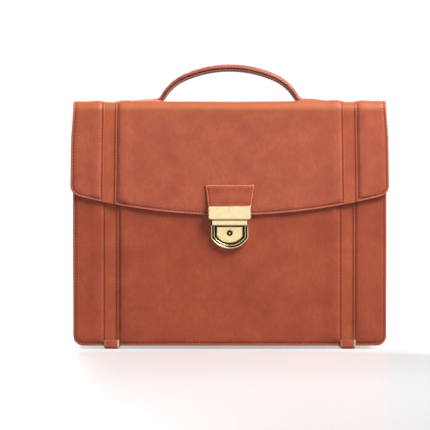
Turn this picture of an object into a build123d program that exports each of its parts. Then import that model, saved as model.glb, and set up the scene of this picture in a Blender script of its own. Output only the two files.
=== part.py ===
"""Flap-over leather briefcase with a carrying handle and a keyed brass press lock.

Row frame, millimetres: +X to the right as seen from the front, -Y to the front, +Z up.
The origin is on the ground, midway between the side edges and midway between the face
of the hasp and the rear lips of the foot runners.
"""

import os
from math import cos, pi, radians, sin

from build123d import *

os.makedirs("parts", exist_ok=True)

# ---- driving dimensions -------------------------------------------------------------
WIDTH = 383.0  # body, side to side
DEPTH = 90.0  # body, front face to back face
MID_Y = 5.0  # middle of the body's depth
HEIGHT = 303.0  # ground to the top of the flap
FOOT_DROP = 3.8  # the body's lower edge stands this far off the ground
SKIN = 2.0  # outer leather
LINING = 1.4  # board and lining behind the leather
STRIP_T = 1.0  # leather of the sunken strips
FOLD_R = 13.0  # outer radius of both top folds
CORNER_R = 12.0  # lower corners of the walls
FLAP_GAP = 0.6  # air between the closed flap and the front wall
CLEAR = 0.3  # air between pieces on different bodies

HALF_W = WIDTH / 2
WALL = SKIN + LINING
FRONT_Y = MID_Y - DEPTH / 2
BACK_Y = MID_Y + DEPTH / 2
FLAP_Y = FRONT_Y - FLAP_GAP - WALL  # outer face of the hanging flap
FOLD_Z = HEIGHT - FOLD_R
BACK_FOLD_Y = BACK_Y - FOLD_R
FRONT_FOLD_Y = FLAP_Y + FOLD_R
TOP_MID_Y = (BACK_FOLD_Y + FRONT_FOLD_Y) / 2
FOLD_SPLIT_DEG = 0.7  # half of the slit between two bodies in a fold

# sunken strips: |x| of the visible edges, and how far they run on under the panels
STRIP_IN, STRIP_OUT = 138.3, 150.5
FLAP_STRIP_IN, FLAP_STRIP_OUT = 139.8, 152.4
TUCK = 6.0

# walls
FRONT_TOP = FOLD_Z - 0.5

# flap outline
FLAP_LOW_Z = 162.9  # middle of the curved lower edge
FLAP_CORNER_Z = 188.5  # where the curve meets the sides
FLAP_HALF_TOP = 191.2
FLAP_HALF_MID = 193.6
FLAP_HALF_LOW = 194.7
FLAP_BULGE_Z = 258.0
FLAP_CORNER_R = 11.0
FLARE = 0.012  # how much wider the flap's seams stand at its lower edge

# gusset
FLANGE = 9.0  # seam flange, in from the walls' outline
GUSSET_T = 1.5
GUSSET_TOP = 283.0
PLEAT = 13.0  # depth of the centre fold
BASE_HALF = 172.0
BASE_WEB_Z = FOOT_DROP + FLANGE

# lock, on the front wall
LOCK_HALF = 23.1
LOCK_LOW_Z = 122.2
LOCK_ARC_R = 26.6
LOCK_RING_TOP = 150.8
LOCK_HEAD_TOP = 158.2
LOCK_HEAD_HALF = 21.0
LOCK_PLATE_T = 1.6
LOCK_RING_H = 3.9  # rings stand this far off the plate
LOCK_CORNER_R = 9.0
RING_STEPS = (0.0, 2.5, 3.85, 5.85)  # outer ring, groove, inner ring, groove
BUTTON_IN = 7.2
BUTTON_TOP = 149.2
BUTTON_TRAVEL = 2.0
BUTTON_FIT = 0.2  # air between the button and its opening
KEY_Z = 141.4
KEY_R = 3.2
BARREL_FIT = 0.05
WINDOW = (10.5, 151.8, 157.2)  # half width, low z, high z
CASE_BACK_Y = FRONT_Y + WALL + 6.0
BOLT_Y = FRONT_Y + 5.2
BOLT_T = 1.6
BOLT_TRAVEL = 3.0

# hasp, on the flap
HASP_HALF = 26.3
HASP_LOW, HASP_HIGH = 157.8, 174.9
TAB_TOP_Z = 200.3
TAB_HALF_TOP, TAB_HALF_LOW = 30.2, 27.3
TAB_T = 2.4
TAB_STAND = 2.8  # the tab's lower half stands this far off the flap
BAND_HALF = 21.6
BAND_LOW, BAND_HIGH = 151.2, 157.0

# handle: a wide arc over the hand and a tighter one down to each end
HANDLE_W = 24.0
HANDLE_T = 8.2
HANDLE_TOP = 350.0
HANDLE_ARC_R = 138.0
HANDLE_ARC_DEG = 23.8  # from the middle to where the tighter arc starts
HANDLE_BEND_R = 57.4
HANDLE_BEND_DEG = 43.0
STRAP_T = 2.4  # flat strap that lies under the padded cover
SLIT_HALF_X, SLIT_HALF_Y = 7.0, 14.0
SLIT_CORNER_R = 2.0
HANDLE_END_T = 6.4
HANDLE_END_UP = 7.0  # the ends stand this far above the tilt axis
CORE_IN = 4.0  # the core is this much narrower on each side
COVER_T = 1.8
COVER_EDGE_R = 2.0

SIDES = (("left", -1), ("right", 1))


def finish(part, label):
    """Labels a finished piece and writes its STEP."""
    part.label = label
    export_step(part, f"parts/{label}.step")


def on_circle(centre, radius, degrees):
    return (
        centre[0] + radius * cos(radians(degrees)),
        centre[1] + radius * sin(radians(degrees)),
    )


def back_section(depth_out, depth_in, low_z):
    """Closed line, in Y and Z, of one layer of the back wall up to the middle of its fold."""
    centre = (BACK_FOLD_Y, FOLD_Z)
    turn = 45 - FOLD_SPLIT_DEG
    r_out, r_in = FOLD_R - depth_out, FOLD_R - depth_in
    Line((BACK_Y - depth_out, low_z), (BACK_Y - depth_out, FOLD_Z))
    CenterArc(centre, r_out, 0, turn)
    Line(on_circle(centre, r_out, turn), on_circle(centre, r_in, turn))
    CenterArc(centre, r_in, 0, turn)
    Line((BACK_Y - depth_in, FOLD_Z), (BACK_Y - depth_in, low_z))
    Line((BACK_Y - depth_in, low_z), (BACK_Y - depth_out, low_z))


def top_section(depth_out, depth_in):
    """Closed line of one layer of the top, between the middles of the two folds."""
    back, front = (BACK_FOLD_Y, FOLD_Z), (FRONT_FOLD_Y, FOLD_Z)
    turn = 45 - FOLD_SPLIT_DEG
    low, high = 45 + FOLD_SPLIT_DEG, 135 - FOLD_SPLIT_DEG
    for depth in (depth_out, depth_in):
        radius = FOLD_R - depth
        CenterArc(back, radius, low, turn)
        CenterArc(front, radius, 90, turn)
        Line((BACK_FOLD_Y, FOLD_Z + radius), (FRONT_FOLD_Y, FOLD_Z + radius))
    r_out, r_in = FOLD_R - depth_out, FOLD_R - depth_in
    Line(on_circle(back, r_out, low), on_circle(back, r_in, low))
    Line(on_circle(front, r_out, high), on_circle(front, r_in, high))


def front_fold_section(depth_out, depth_in):
    """Closed line of one layer of the front fold's lower half."""
    centre = (FRONT_FOLD_Y, FOLD_Z)
    start = 135 + FOLD_SPLIT_DEG
    r_out, r_in = FOLD_R - depth_out, FOLD_R - depth_in
    CenterArc(centre, r_out, start, 180 - start)
    CenterArc(centre, r_in, start, 180 - start)
    Line(on_circle(centre, r_out, start), on_circle(centre, r_in, start))
    Line(on_circle(centre, r_out, 180), on_circle(centre, r_in, 180))


def flared(x, z):
    """x of a flap seam at height z: the seams lean outwards towards the lower edge."""
    return x * (1 + FLARE * (FOLD_Z - z) / (FOLD_Z - FLAP_LOW_Z))


def lock_outline(inset, top_z):
    """Shield outline of the lock, set in by a margin and cut level at the top."""
    half = LOCK_HALF - inset
    arc_centre_z = LOCK_LOW_Z + LOCK_ARC_R
    with Locations((0, arc_centre_z)):
        Circle(LOCK_ARC_R - inset)
    with Locations((0, top_z)):
        Rectangle(
            2 * half,
            4 * LOCK_ARC_R,
            align=(Align.CENTER, Align.MAX),
            mode=Mode.INTERSECT,
        )


# ---- outline of the hanging flap, cut as one shape in X and Z ------------------------
with BuildSketch() as flap_outline:
    with BuildLine():
        Line((-FLAP_HALF_TOP, FOLD_Z), (FLAP_HALF_TOP, FOLD_Z))
        ThreePointArc(
            (-FLAP_HALF_LOW, FLAP_CORNER_Z),
            (0, FLAP_LOW_Z),
            (FLAP_HALF_LOW, FLAP_CORNER_Z),
        )
        for side in (-1, 1):
            Line((side * FLAP_HALF_TOP, FOLD_Z), (side * FLAP_HALF_MID, FLAP_BULGE_Z))
            Line(
                (side * FLAP_HALF_MID, FLAP_BULGE_Z),
                (side * FLAP_HALF_LOW, FLAP_CORNER_Z),
            )
    make_face()
    fillet(flap_outline.vertices().group_by(Axis.Y)[0], FLAP_CORNER_R)

# ---- outline of the front and back walls ---------------------------------------------
with BuildSketch() as wall_outline:
    with Locations((0, FOOT_DROP)):
        Rectangle(WIDTH, FOLD_Z - FOOT_DROP, align=(Align.CENTER, Align.MIN))
    fillet(wall_outline.vertices().group_by(Axis.Y)[0], CORNER_R)

# =====================================================================================
# Back wall: lining board, sunken strips, middle and side panels, all up to the fold
# =====================================================================================
with BuildPart() as wall_block:  # the walls' outline as a block, to trim each piece by
    with BuildSketch(Plane.XZ.offset(-DEPTH)):
        add(wall_outline.sketch)
        with Locations((0, FOLD_Z)):
            Rectangle(WIDTH, FOLD_R, align=(Align.CENTER, Align.MIN))
    extrude(amount=2 * DEPTH)

with BuildPart() as back_lining:
    with BuildSketch(Plane.YZ.offset(-HALF_W)):
        with BuildLine():
            back_section(SKIN, WALL, FOOT_DROP)
        make_face()
    extrude(amount=WIDTH)
    add(wall_block.part, mode=Mode.INTERSECT)
finish(back_lining.part, "back_lining")

back_strips = {}
for side_name, side in SIDES:
    with BuildPart() as back_strip:
        strip_low_x = min(side * (STRIP_IN - TUCK), side * (STRIP_OUT + TUCK))
        with BuildSketch(Plane.YZ.offset(strip_low_x)):
            with BuildLine():
                back_section(SKIN - STRIP_T, SKIN, FOOT_DROP)
            make_face()
        extrude(amount=STRIP_OUT - STRIP_IN + 2 * TUCK)
    back_strips[side_name] = back_strip.part
    finish(back_strip.part, f"back_strip_{side_name}")

with BuildPart() as back_centre_panel:
    with BuildSketch(Plane.YZ.offset(-STRIP_IN)):
        with BuildLine():
            back_section(0, SKIN, FOOT_DROP)
        make_face()
    extrude(amount=2 * STRIP_IN)
    for strip in back_strips.values():
        add(strip, mode=Mode.SUBTRACT)
finish(back_centre_panel.part, "back_centre_panel")

for side_name, side in SIDES:
    with BuildPart() as back_side_panel:
        with BuildSketch(Plane.YZ.offset(min(side * STRIP_OUT, side * HALF_W))):
            with BuildLine():
                back_section(0, SKIN, FOOT_DROP)
            make_face()
        extrude(amount=HALF_W - STRIP_OUT)
        add(wall_block.part, mode=Mode.INTERSECT)
        add(back_strips[side_name], mode=Mode.SUBTRACT)
    finish(back_side_panel.part, f"back_side_panel_{side_name}")

# =====================================================================================
# Gusset: seam flanges round the walls, pleated sides and a flat base
# =====================================================================================
flange_front_y = FRONT_Y + WALL + CLEAR
flange_back_y = BACK_Y - WALL

with BuildPart() as flanges:
    for y_start in (flange_front_y, flange_back_y - GUSSET_T):
        with BuildSketch(Plane.XZ.offset(-y_start)):
            add(wall_outline.sketch)
            with BuildSketch(mode=Mode.PRIVATE) as inner:
                with Locations((0, BASE_WEB_Z)):
                    Rectangle(
                        WIDTH - 2 * FLANGE, HEIGHT, align=(Align.CENTER, Align.MIN)
                    )
            add(inner.sketch, mode=Mode.SUBTRACT)
            with Locations((0, GUSSET_TOP)):
                Rectangle(
                    WIDTH,
                    HEIGHT,
                    align=(Align.CENTER, Align.MIN),
                    mode=Mode.SUBTRACT,
                )
        extrude(amount=-GUSSET_T)

for side_name, side in SIDES:
    with BuildPart() as gusset_side:
        add(flanges.part)
        with BuildSketch(Plane.XZ.offset(-DEPTH)):
            with Locations((side * BASE_HALF, 0)):
                Rectangle(
                    HALF_W,
                    HEIGHT,
                    align=(Align.MIN if side > 0 else Align.MAX, Align.MIN),
                )
        extrude(amount=2 * DEPTH, mode=Mode.INTERSECT)
        with BuildSketch(Plane.XY.offset(BASE_WEB_Z + GUSSET_T)):
            outer_x = side * (HALF_W - FLANGE)
            inner_x = side * (HALF_W - FLANGE - GUSSET_T)
            web_front, web_back = flange_front_y, flange_back_y
            with BuildLine():
                Polyline(
                    (outer_x, web_front),
                    (outer_x - side * PLEAT, MID_Y),
                    (outer_x, web_back),
                    (inner_x, web_back),
                    (inner_x - side * PLEAT, MID_Y),
                    (inner_x, web_front),
                    close=True,
                )
            make_face()
        extrude(amount=GUSSET_TOP - BASE_WEB_Z - GUSSET_T)
    finish(gusset_side.part, f"gusset_{side_name}")

with BuildPart() as gusset_base:
    add(flanges.part)
    with BuildSketch(Plane.XZ.offset(-DEPTH)):
        Rectangle(2 * BASE_HALF, 2 * HEIGHT)
    extrude(amount=2 * DEPTH, mode=Mode.INTERSECT)
    with BuildSketch(Plane.YZ.offset(-BASE_HALF)):
        with Locations(((flange_front_y + flange_back_y) / 2, BASE_WEB_Z)):
            Rectangle(
                flange_back_y - flange_front_y,
                GUSSET_T,
                align=(Align.CENTER, Align.MIN),
            )
    extrude(amount=2 * BASE_HALF)
finish(gusset_base.part, "gusset_base")

board_low_z = BASE_WEB_Z + GUSSET_T
BOARD_T = 2.0
BOARD_CORNER_R = 4.0
BOARD_SIDE_GAP = 1.0  # to the gusset's pleats
BOARD_WALL_GAP = 3.0  # to the front and back walls
BOARD_HALF_X = HALF_W - FLANGE - GUSSET_T - PLEAT - BOARD_SIDE_GAP
with BuildPart() as base_board:
    with BuildSketch(Plane.XY.offset(board_low_z)):
        with Locations((0, MID_Y)):
            RectangleRounded(
                2 * BOARD_HALF_X,
                DEPTH - 2 * (WALL + BOARD_WALL_GAP),
                BOARD_CORNER_R,
            )
    extrude(amount=BOARD_T)
finish(base_board.part, "base_board")

DIVIDER_TOP = 258.0
DIVIDER_T = 2.4
DIVIDER_CORNER_R = 8.0
with BuildPart() as divider:
    with BuildSketch(Plane.XZ.offset(DIVIDER_T / 2 - MID_Y)):
        with Locations((0, board_low_z + BOARD_T)):
            Rectangle(
                2 * BOARD_HALF_X,
                DIVIDER_TOP - board_low_z - BOARD_T,
                align=(Align.CENTER, Align.MIN),
            )
    extrude(amount=-DIVIDER_T)
    fillet(divider.edges().filter_by(Axis.Y).group_by(Axis.Z)[-1], DIVIDER_CORNER_R)
finish(divider.part, "divider")

POCKET_HALF, POCKET_LOW, POCKET_HIGH = 105.0, 70.0, 205.0
POCKET_T = 1.2
POCKET_CORNER_R = 8.0
with BuildPart() as inner_pocket:
    with BuildSketch(Plane.XZ.offset(-(BACK_Y - WALL - POCKET_T))):
        with Locations((0, (POCKET_LOW + POCKET_HIGH) / 2)):
            RectangleRounded(
                2 * POCKET_HALF, POCKET_HIGH - POCKET_LOW, POCKET_CORNER_R
            )
    extrude(amount=-POCKET_T)
finish(inner_pocket.part, "inner_pocket")

# =====================================================================================
# Feet: a thick leather runner under each strip, turned up over the lower edges
# =====================================================================================
RUNNER_W = 18.6
RUNNER_LIP_TOP = 10.8
RUNNER_T = 3.2
RUNNER_GAP = 0.7  # room for the front wall to lean out
RUNNER_EDGE_R = 2.5
runner_x = (STRIP_IN + STRIP_OUT) / 2
for side_name, side in SIDES:
    with BuildPart() as foot_runner:
        with BuildSketch(Plane.YZ.offset(side * runner_x - RUNNER_W / 2)):
            lip_front = FRONT_Y - RUNNER_GAP - RUNNER_T
            lip_back = BACK_Y + RUNNER_T
            step_y = FRONT_Y + WALL + CLEAR
            with BuildLine():
                Polyline(
                    (lip_front, 0),
                    (lip_back, 0),
                    (lip_back, RUNNER_LIP_TOP),
                    (BACK_Y, RUNNER_LIP_TOP),
                    (BACK_Y, FOOT_DROP),
                    (step_y, FOOT_DROP),
                    (step_y, FOOT_DROP - CLEAR),
                    (FRONT_Y - RUNNER_GAP, FOOT_DROP - CLEAR),
                    (FRONT_Y - RUNNER_GAP, RUNNER_LIP_TOP),
                    (lip_front, RUNNER_LIP_TOP),
                    close=True,
                )
            make_face()
        extrude(amount=RUNNER_W)
        fillet(
            foot_runner.edges().filter_by(Axis.X).group_by(Axis.Z)[0],
            RUNNER_EDGE_R,
        )
    finish(foot_runner.part, f"foot_runner_{side_name}")

# =====================================================================================
# Front wall, which leans out at its foot when the case is opened wide
# =====================================================================================
SCREW_X = 21.6
SCREW_Z_LOW, SCREW_Z_HIGH = 139.4, 148.4
SCREW_R = 0.9
SCREW_FIT = 0.1  # air round a screw's shank
SCREW_BITE = 1.2  # how far a screw goes into the plate's ring
LOCK_CUTOUT_IN = 4.6
screw_places = [
    (x, z) for x in (-SCREW_X, SCREW_X) for z in (SCREW_Z_LOW, SCREW_Z_HIGH)
]

with BuildSketch() as lock_cutout:  # through the wall, behind the lock's plate
    lock_outline(LOCK_CUTOUT_IN, WINDOW[2])

with BuildPart() as front_lining:
    with BuildSketch(Plane.XZ.offset(-(FRONT_Y + SKIN))):
        add(wall_outline.sketch)
        with Locations((0, FRONT_TOP)):
            Rectangle(
                WIDTH, HEIGHT, align=(Align.CENTER, Align.MIN), mode=Mode.SUBTRACT
            )
        add(lock_cutout.sketch, mode=Mode.SUBTRACT)
        with Locations(*screw_places):
            Circle(SCREW_R + SCREW_FIT, mode=Mode.SUBTRACT)
    extrude(amount=-LINING)
finish(front_lining.part, "front_lining")

front_strips = {}
for side_name, side in SIDES:
    with BuildPart() as front_strip:
        with BuildSketch(Plane.XZ.offset(-(FRONT_Y + SKIN - STRIP_T))):
            with Locations((side * (STRIP_IN + STRIP_OUT) / 2, FOOT_DROP)):
                Rectangle(
                    STRIP_OUT - STRIP_IN + 2 * TUCK,
                    FRONT_TOP - FOOT_DROP,
                    align=(Align.CENTER, Align.MIN),
                )
        extrude(amount=-STRIP_T)
    front_strips[side_name] = front_strip.part
    finish(front_strip.part, f"front_strip_{side_name}")

with BuildPart() as front_centre_panel:
    with BuildSketch(Plane.XZ.offset(-FRONT_Y)):
        with Locations((0, FOOT_DROP)):
            Rectangle(
                2 * STRIP_IN, FRONT_TOP - FOOT_DROP, align=(Align.CENTER, Align.MIN)
            )
        add(lock_cutout.sketch, mode=Mode.SUBTRACT)
        with Locations(*screw_places):
            Circle(SCREW_R + SCREW_FIT, mode=Mode.SUBTRACT)
    extrude(amount=-SKIN)
    for strip in front_strips.values():
        add(strip, mode=Mode.SUBTRACT)
finish(front_centre_panel.part, "front_centre_panel")

for side_name, side in SIDES:
    with BuildPart() as front_side_panel:
        with BuildSketch(Plane.XZ.offset(-FRONT_Y)):
            add(wall_outline.sketch)
            with Locations((side * (STRIP_OUT + HALF_W) / 2, FOOT_DROP)):
                Rectangle(
                    HALF_W - STRIP_OUT,
                    FRONT_TOP - FOOT_DROP,
                    align=(Align.CENTER, Align.MIN),
                    mode=Mode.INTERSECT,
                )
        extrude(amount=-SKIN)
        add(front_strips[side_name], mode=Mode.SUBTRACT)
    finish(front_side_panel.part, f"front_side_panel_{side_name}")

# =====================================================================================
# Lock: cast front plate, press button with key barrel, case, bolt, clip and screws
# =====================================================================================
plate_face_y = FRONT_Y - LOCK_PLATE_T
ring_face_y = plate_face_y - LOCK_RING_H

with BuildPart() as lock_plate:
    with BuildSketch(Plane.XZ.offset(-FRONT_Y)):
        lock_outline(0, LOCK_RING_TOP)
        with Locations((0, LOCK_HEAD_TOP)):
            Rectangle(
                2 * LOCK_HEAD_HALF,
                LOCK_HEAD_TOP - LOCK_RING_TOP,
                align=(Align.CENTER, Align.MAX),
            )
    extrude(amount=LOCK_PLATE_T)
    for outer_inset, inner_inset in (RING_STEPS[0:2], RING_STEPS[2:4]):
        with BuildSketch(Plane.XZ.offset(-plate_face_y)):
            lock_outline(outer_inset, LOCK_RING_TOP)
            with BuildSketch(mode=Mode.PRIVATE) as ring_hole:
                lock_outline(inner_inset, LOCK_RING_TOP)
            add(ring_hole.sketch, mode=Mode.SUBTRACT)
        extrude(amount=LOCK_RING_H)
    with BuildSketch(Plane.XZ.offset(-FRONT_Y)):
        lock_outline(BUTTON_IN - BUTTON_FIT, BUTTON_TOP + BUTTON_FIT)
        with Locations((0, (WINDOW[1] + WINDOW[2]) / 2)):
            Rectangle(2 * WINDOW[0], WINDOW[2] - WINDOW[1])
    extrude(amount=LOCK_PLATE_T, mode=Mode.SUBTRACT)
    with BuildSketch(Plane.XZ.offset(-FRONT_Y)):
        with Locations(*screw_places):
            Circle(SCREW_R + SCREW_FIT / 2)
    extrude(amount=LOCK_PLATE_T + SCREW_BITE + CLEAR, mode=Mode.SUBTRACT)
finish(lock_plate.part, "lock_plate")

button_face_y = ring_face_y + 0.4
button_flange_y = FRONT_Y + 0.1
BUTTON_FLANGE_T = 1.2
BUTTON_FLANGE_OUT = 1.4  # how far the flange reaches past the button's outline
BUTTON_FLANGE_UP = 1.0
BOSS_R, BOSS_H, BOSS_TAPER = 5.4, 0.4, 20  # raised ring round the keyhole
SPRING_X, SPRING_Z = 11.0, 140.2
SPRING_R = 1.8
SEAT_FIT, SEAT_DEPTH = 0.4, 1.6  # blind seats for the springs
with BuildPart() as lock_button:
    with BuildSketch(Plane.XZ.offset(-button_flange_y)):
        lock_outline(BUTTON_IN, BUTTON_TOP)
    extrude(amount=button_flange_y - button_face_y)
    with BuildSketch(Plane.XZ.offset(-(button_flange_y + BUTTON_FLANGE_T))):
        lock_outline(BUTTON_IN - BUTTON_FLANGE_OUT, BUTTON_TOP + BUTTON_FLANGE_UP)
    extrude(amount=BUTTON_FLANGE_T)
    with BuildSketch(Plane.XZ.offset(-button_face_y)):
        with Locations((0, KEY_Z)):
            Circle(BOSS_R)
    extrude(amount=BOSS_H, taper=BOSS_TAPER)
    with BuildSketch(Plane.XZ.offset(-(button_flange_y + BUTTON_FLANGE_T))):
        with Locations((0, KEY_Z)):
            Circle(KEY_R + BARREL_FIT)
    extrude(amount=3 * LOCK_RING_H, mode=Mode.SUBTRACT)
    with BuildSketch(Plane.XZ.offset(-(button_flange_y + BUTTON_FLANGE_T))):
        with Locations((-SPRING_X, SPRING_Z), (SPRING_X, SPRING_Z)):
            Circle(SPRING_R + SEAT_FIT)
    extrude(amount=SEAT_DEPTH, mode=Mode.SUBTRACT)
finish(lock_button.part, "lock_button")

CAM_REACH = 5.6
CAM_HALF = 0.8
CAM_T = 1.6
KEYWAY_RIM, KEYWAY_DEPTH, KEY_PIN_R = 0.6, 4.0, 0.8
WARD_W, WARD_H, WARD_UP = 1.1, 1.2, 2.5  # slot for the key's bit
barrel_back_y = FRONT_Y + 4.0
cam_back_y = barrel_back_y + CAM_T
with BuildPart() as key_barrel:
    with BuildSketch(Plane.XZ.offset(-barrel_back_y)):
        with Locations((0, KEY_Z)):
            Circle(KEY_R)
    extrude(amount=barrel_back_y - button_face_y)
    with BuildSketch(Plane.XZ.offset(-button_face_y)):  # keyway round a fixed pin
        with Locations((0, KEY_Z)):
            Circle(KEY_R - KEYWAY_RIM)
            Circle(KEY_PIN_R, mode=Mode.SUBTRACT)
        with Locations((0, KEY_Z + WARD_UP)):
            Rectangle(WARD_W, WARD_H)
    extrude(amount=-KEYWAY_DEPTH, mode=Mode.SUBTRACT)
    with BuildSketch(Plane.XZ.offset(-cam_back_y)):
        with Locations((CAM_REACH / 2 - CAM_HALF / 2, KEY_Z)):
            Rectangle(CAM_REACH + CAM_HALF, 2 * CAM_HALF)
    extrude(amount=CAM_T)
finish(key_barrel.part, "key_barrel")

BOLT_W = 6.0
BOLT_ABOVE_KEY = 3.5  # just above the cam's sweep, once the bolt is up
bolt_low_z = KEY_Z + BOLT_ABOVE_KEY
bolt_high_z = WINDOW[1] - CLEAR
with BuildPart() as lock_bolt:
    with BuildSketch(Plane.XZ.offset(-(BOLT_Y - BOLT_T / 2))):
        with Locations((0, bolt_low_z)):
            Rectangle(BOLT_W, bolt_high_z - bolt_low_z, align=(Align.CENTER, Align.MIN))
    extrude(amount=-BOLT_T)
finish(lock_bolt.part, "lock_bolt")

CASE_HALF, CASE_LOW, CASE_HIGH = 19.4, 127.6, 160.0
CASE_T = 1.0
CASE_CORNER_R = 3.0
EAR_W = 49.0
GUIDE_X, GUIDE_Z, GUIDE_W, GUIDE_H = 4.3, 148.8, 2.0, 4.0
case_front_y = FRONT_Y + WALL
case_inner_r = CASE_CORNER_R - CASE_T
with BuildPart() as lock_case:
    with BuildSketch(Plane.XZ.offset(-case_front_y)):
        with Locations((0, (CASE_LOW + CASE_HIGH) / 2)):
            RectangleRounded(2 * CASE_HALF, CASE_HIGH - CASE_LOW, CASE_CORNER_R)
    extrude(amount=-(CASE_BACK_Y - case_front_y))
    with BuildSketch(Plane.XZ.offset(-case_front_y)):
        with Locations((0, (CASE_LOW + CASE_HIGH) / 2)):
            RectangleRounded(
                2 * (CASE_HALF - CASE_T),
                CASE_HIGH - CASE_LOW - 2 * CASE_T,
                case_inner_r,
            )
    extrude(amount=-(CASE_BACK_Y - case_front_y - CASE_T), mode=Mode.SUBTRACT)
    with BuildSketch(Plane.XZ.offset(-case_front_y)):  # ears for the screws
        with Locations((0, (CASE_LOW + CASE_HIGH) / 2)):
            RectangleRounded(EAR_W, CASE_HIGH - CASE_LOW, CASE_CORNER_R)
            RectangleRounded(
                2 * (CASE_HALF - CASE_T),
                CASE_HIGH - CASE_LOW - 2 * CASE_T,
                case_inner_r,
                mode=Mode.SUBTRACT,
            )
        with Locations(*screw_places):
            Circle(SCREW_R + SCREW_FIT, mode=Mode.SUBTRACT)
    extrude(amount=-CASE_T)
    with BuildSketch(Plane.XZ.offset(-(CASE_BACK_Y - CASE_T))):  # guides for the bolt
        with Locations((-GUIDE_X, GUIDE_Z), (GUIDE_X, GUIDE_Z)):
            Rectangle(GUIDE_W, GUIDE_H)
    extrude(amount=CASE_BACK_Y - CASE_T - BOLT_Y + BOLT_T)
finish(lock_case.part, "lock_case")

CLIP_X, CLIP_T, CLIP_FOOT_X, CLIP_FOOT_T, CLIP_H = 9.75, 0.6, 12.6, 0.5, 3.6
clip_front_y = FRONT_Y + 5.0
clip_back_y = CASE_BACK_Y - CASE_T
clip_low_z = (WINDOW[1] + WINDOW[2] - CLIP_H) / 2
with BuildPart() as lock_clip:  # leaf springs that grip the hasp's hook on both sides
    for side in (-1, 1):
        with BuildSketch(Plane.XY.offset(clip_low_z)):
            with BuildLine():
                Polyline(
                    (side * CLIP_X, clip_front_y),
                    (side * CLIP_X, clip_back_y),
                    (side * CLIP_FOOT_X, clip_back_y),
                    (side * CLIP_FOOT_X, clip_back_y - CLIP_FOOT_T),
                    (side * (CLIP_X + CLIP_T), clip_back_y - CLIP_FOOT_T),
                    (side * (CLIP_X + CLIP_T), clip_front_y),
                    close=True,
                )
            make_face()
        extrude(amount=CLIP_H)
finish(lock_clip.part, "lock_clip")

SCREW_HEAD_R, SCREW_HEAD_T = 1.9, 0.9
with BuildPart() as lock_screws:
    for x, z in screw_places:
        with BuildSketch(Plane.XZ.offset(-(case_front_y + CASE_T))):
            with Locations((x, z)):
                Circle(SCREW_R)
        extrude(amount=case_front_y + CASE_T - FRONT_Y + LOCK_PLATE_T + SCREW_BITE)
        with BuildSketch(Plane.XZ.offset(-(case_front_y + CASE_T + SCREW_HEAD_T))):
            with Locations((x, z)):
                Circle(SCREW_HEAD_R)
        extrude(amount=SCREW_HEAD_T)
finish(lock_screws.part, "lock_screws")

SPRING_WIRE_R = 0.25
SPRING_TURNS = 4
spring_end = SPRING_WIRE_R + 0.05  # the wire's middle stops this far off its seat
spring_front_y = button_flange_y + BUTTON_FLANGE_T - SEAT_DEPTH + spring_end
spring_back_y = CASE_BACK_Y - CASE_T - spring_end - BUTTON_TRAVEL
spring_length = spring_back_y - spring_front_y
button_springs = []
for side in (-1, 1):
    start = Location((side * SPRING_X, spring_back_y, SPRING_Z), (90, 0, 0))
    with BuildPart() as spring:
        with BuildLine() as coil:
            Helix(spring_length / SPRING_TURNS, spring_length, SPRING_R - SPRING_WIRE_R)
        with BuildSketch(Plane(coil.line @ 0, z_dir=coil.line % 0)):
            Circle(SPRING_WIRE_R)
        sweep(is_frenet=True)
    button_springs.append(spring.part.moved(start))
finish(Compound(children=button_springs), "button_springs")

# =====================================================================================
# Flap, top part, which carries the handle
# =====================================================================================
tilt_z = HEIGHT - 1.0
arc_centre_z = HANDLE_TOP - HANDLE_T / 2 - HANDLE_ARC_R
bend_centre = on_circle(
    (0, arc_centre_z), HANDLE_ARC_R - HANDLE_BEND_R, 90 - HANDLE_ARC_DEG
)
bend_end_deg = 90 - HANDLE_ARC_DEG - HANDLE_BEND_DEG
HANDLE_END_X = on_circle(bend_centre, HANDLE_BEND_R, bend_end_deg)[0]
slit_places = [(-HANDLE_END_X, TOP_MID_Y), (HANDLE_END_X, TOP_MID_Y)]


def top_layer(depth_out, depth_in, x_low, x_high):
    """Adds one layer of the flap's top between two x values."""
    with BuildSketch(Plane.YZ.offset(x_low)) as section:
        with BuildLine():
            top_section(depth_out, depth_in)
        make_face()
    extrude(section.sketch, amount=x_high - x_low)


def cut_slits():
    """Cuts the two slits that the handle's ends pass through."""
    with BuildSketch(Plane.XY.offset(HEIGHT - 3 * WALL)) as slits:
        with Locations(*slit_places):
            RectangleRounded(2 * SLIT_HALF_X, 2 * SLIT_HALF_Y, SLIT_CORNER_R)
    extrude(slits.sketch, amount=4 * WALL, mode=Mode.SUBTRACT)


with BuildPart() as flap_top_lining:
    top_layer(SKIN, WALL, -FLAP_HALF_TOP, FLAP_HALF_TOP)
    cut_slits()
finish(flap_top_lining.part, "flap_top_lining")

top_strips = {}
for side_name, side in SIDES:
    with BuildPart() as flap_top_strip:
        near, far = side * (FLAP_STRIP_IN - TUCK), side * (FLAP_STRIP_OUT + TUCK)
        top_layer(SKIN - STRIP_T, SKIN, min(near, far), max(near, far))
    top_strips[side_name] = flap_top_strip.part
    finish(flap_top_strip.part, f"flap_top_strip_{side_name}")

with BuildPart() as flap_top_centre:
    top_layer(0, SKIN, -FLAP_STRIP_IN, FLAP_STRIP_IN)
    for strip in top_strips.values():
        add(strip, mode=Mode.SUBTRACT)
    cut_slits()
finish(flap_top_centre.part, "flap_top_centre")

for side_name, side in SIDES:
    with BuildPart() as flap_top_side:
        near, far = side * FLAP_STRIP_OUT, side * FLAP_HALF_TOP
        top_layer(0, SKIN, min(near, far), max(near, far))
        add(top_strips[side_name], mode=Mode.SUBTRACT)
    finish(flap_top_side.part, f"flap_top_side_{side_name}")

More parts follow.
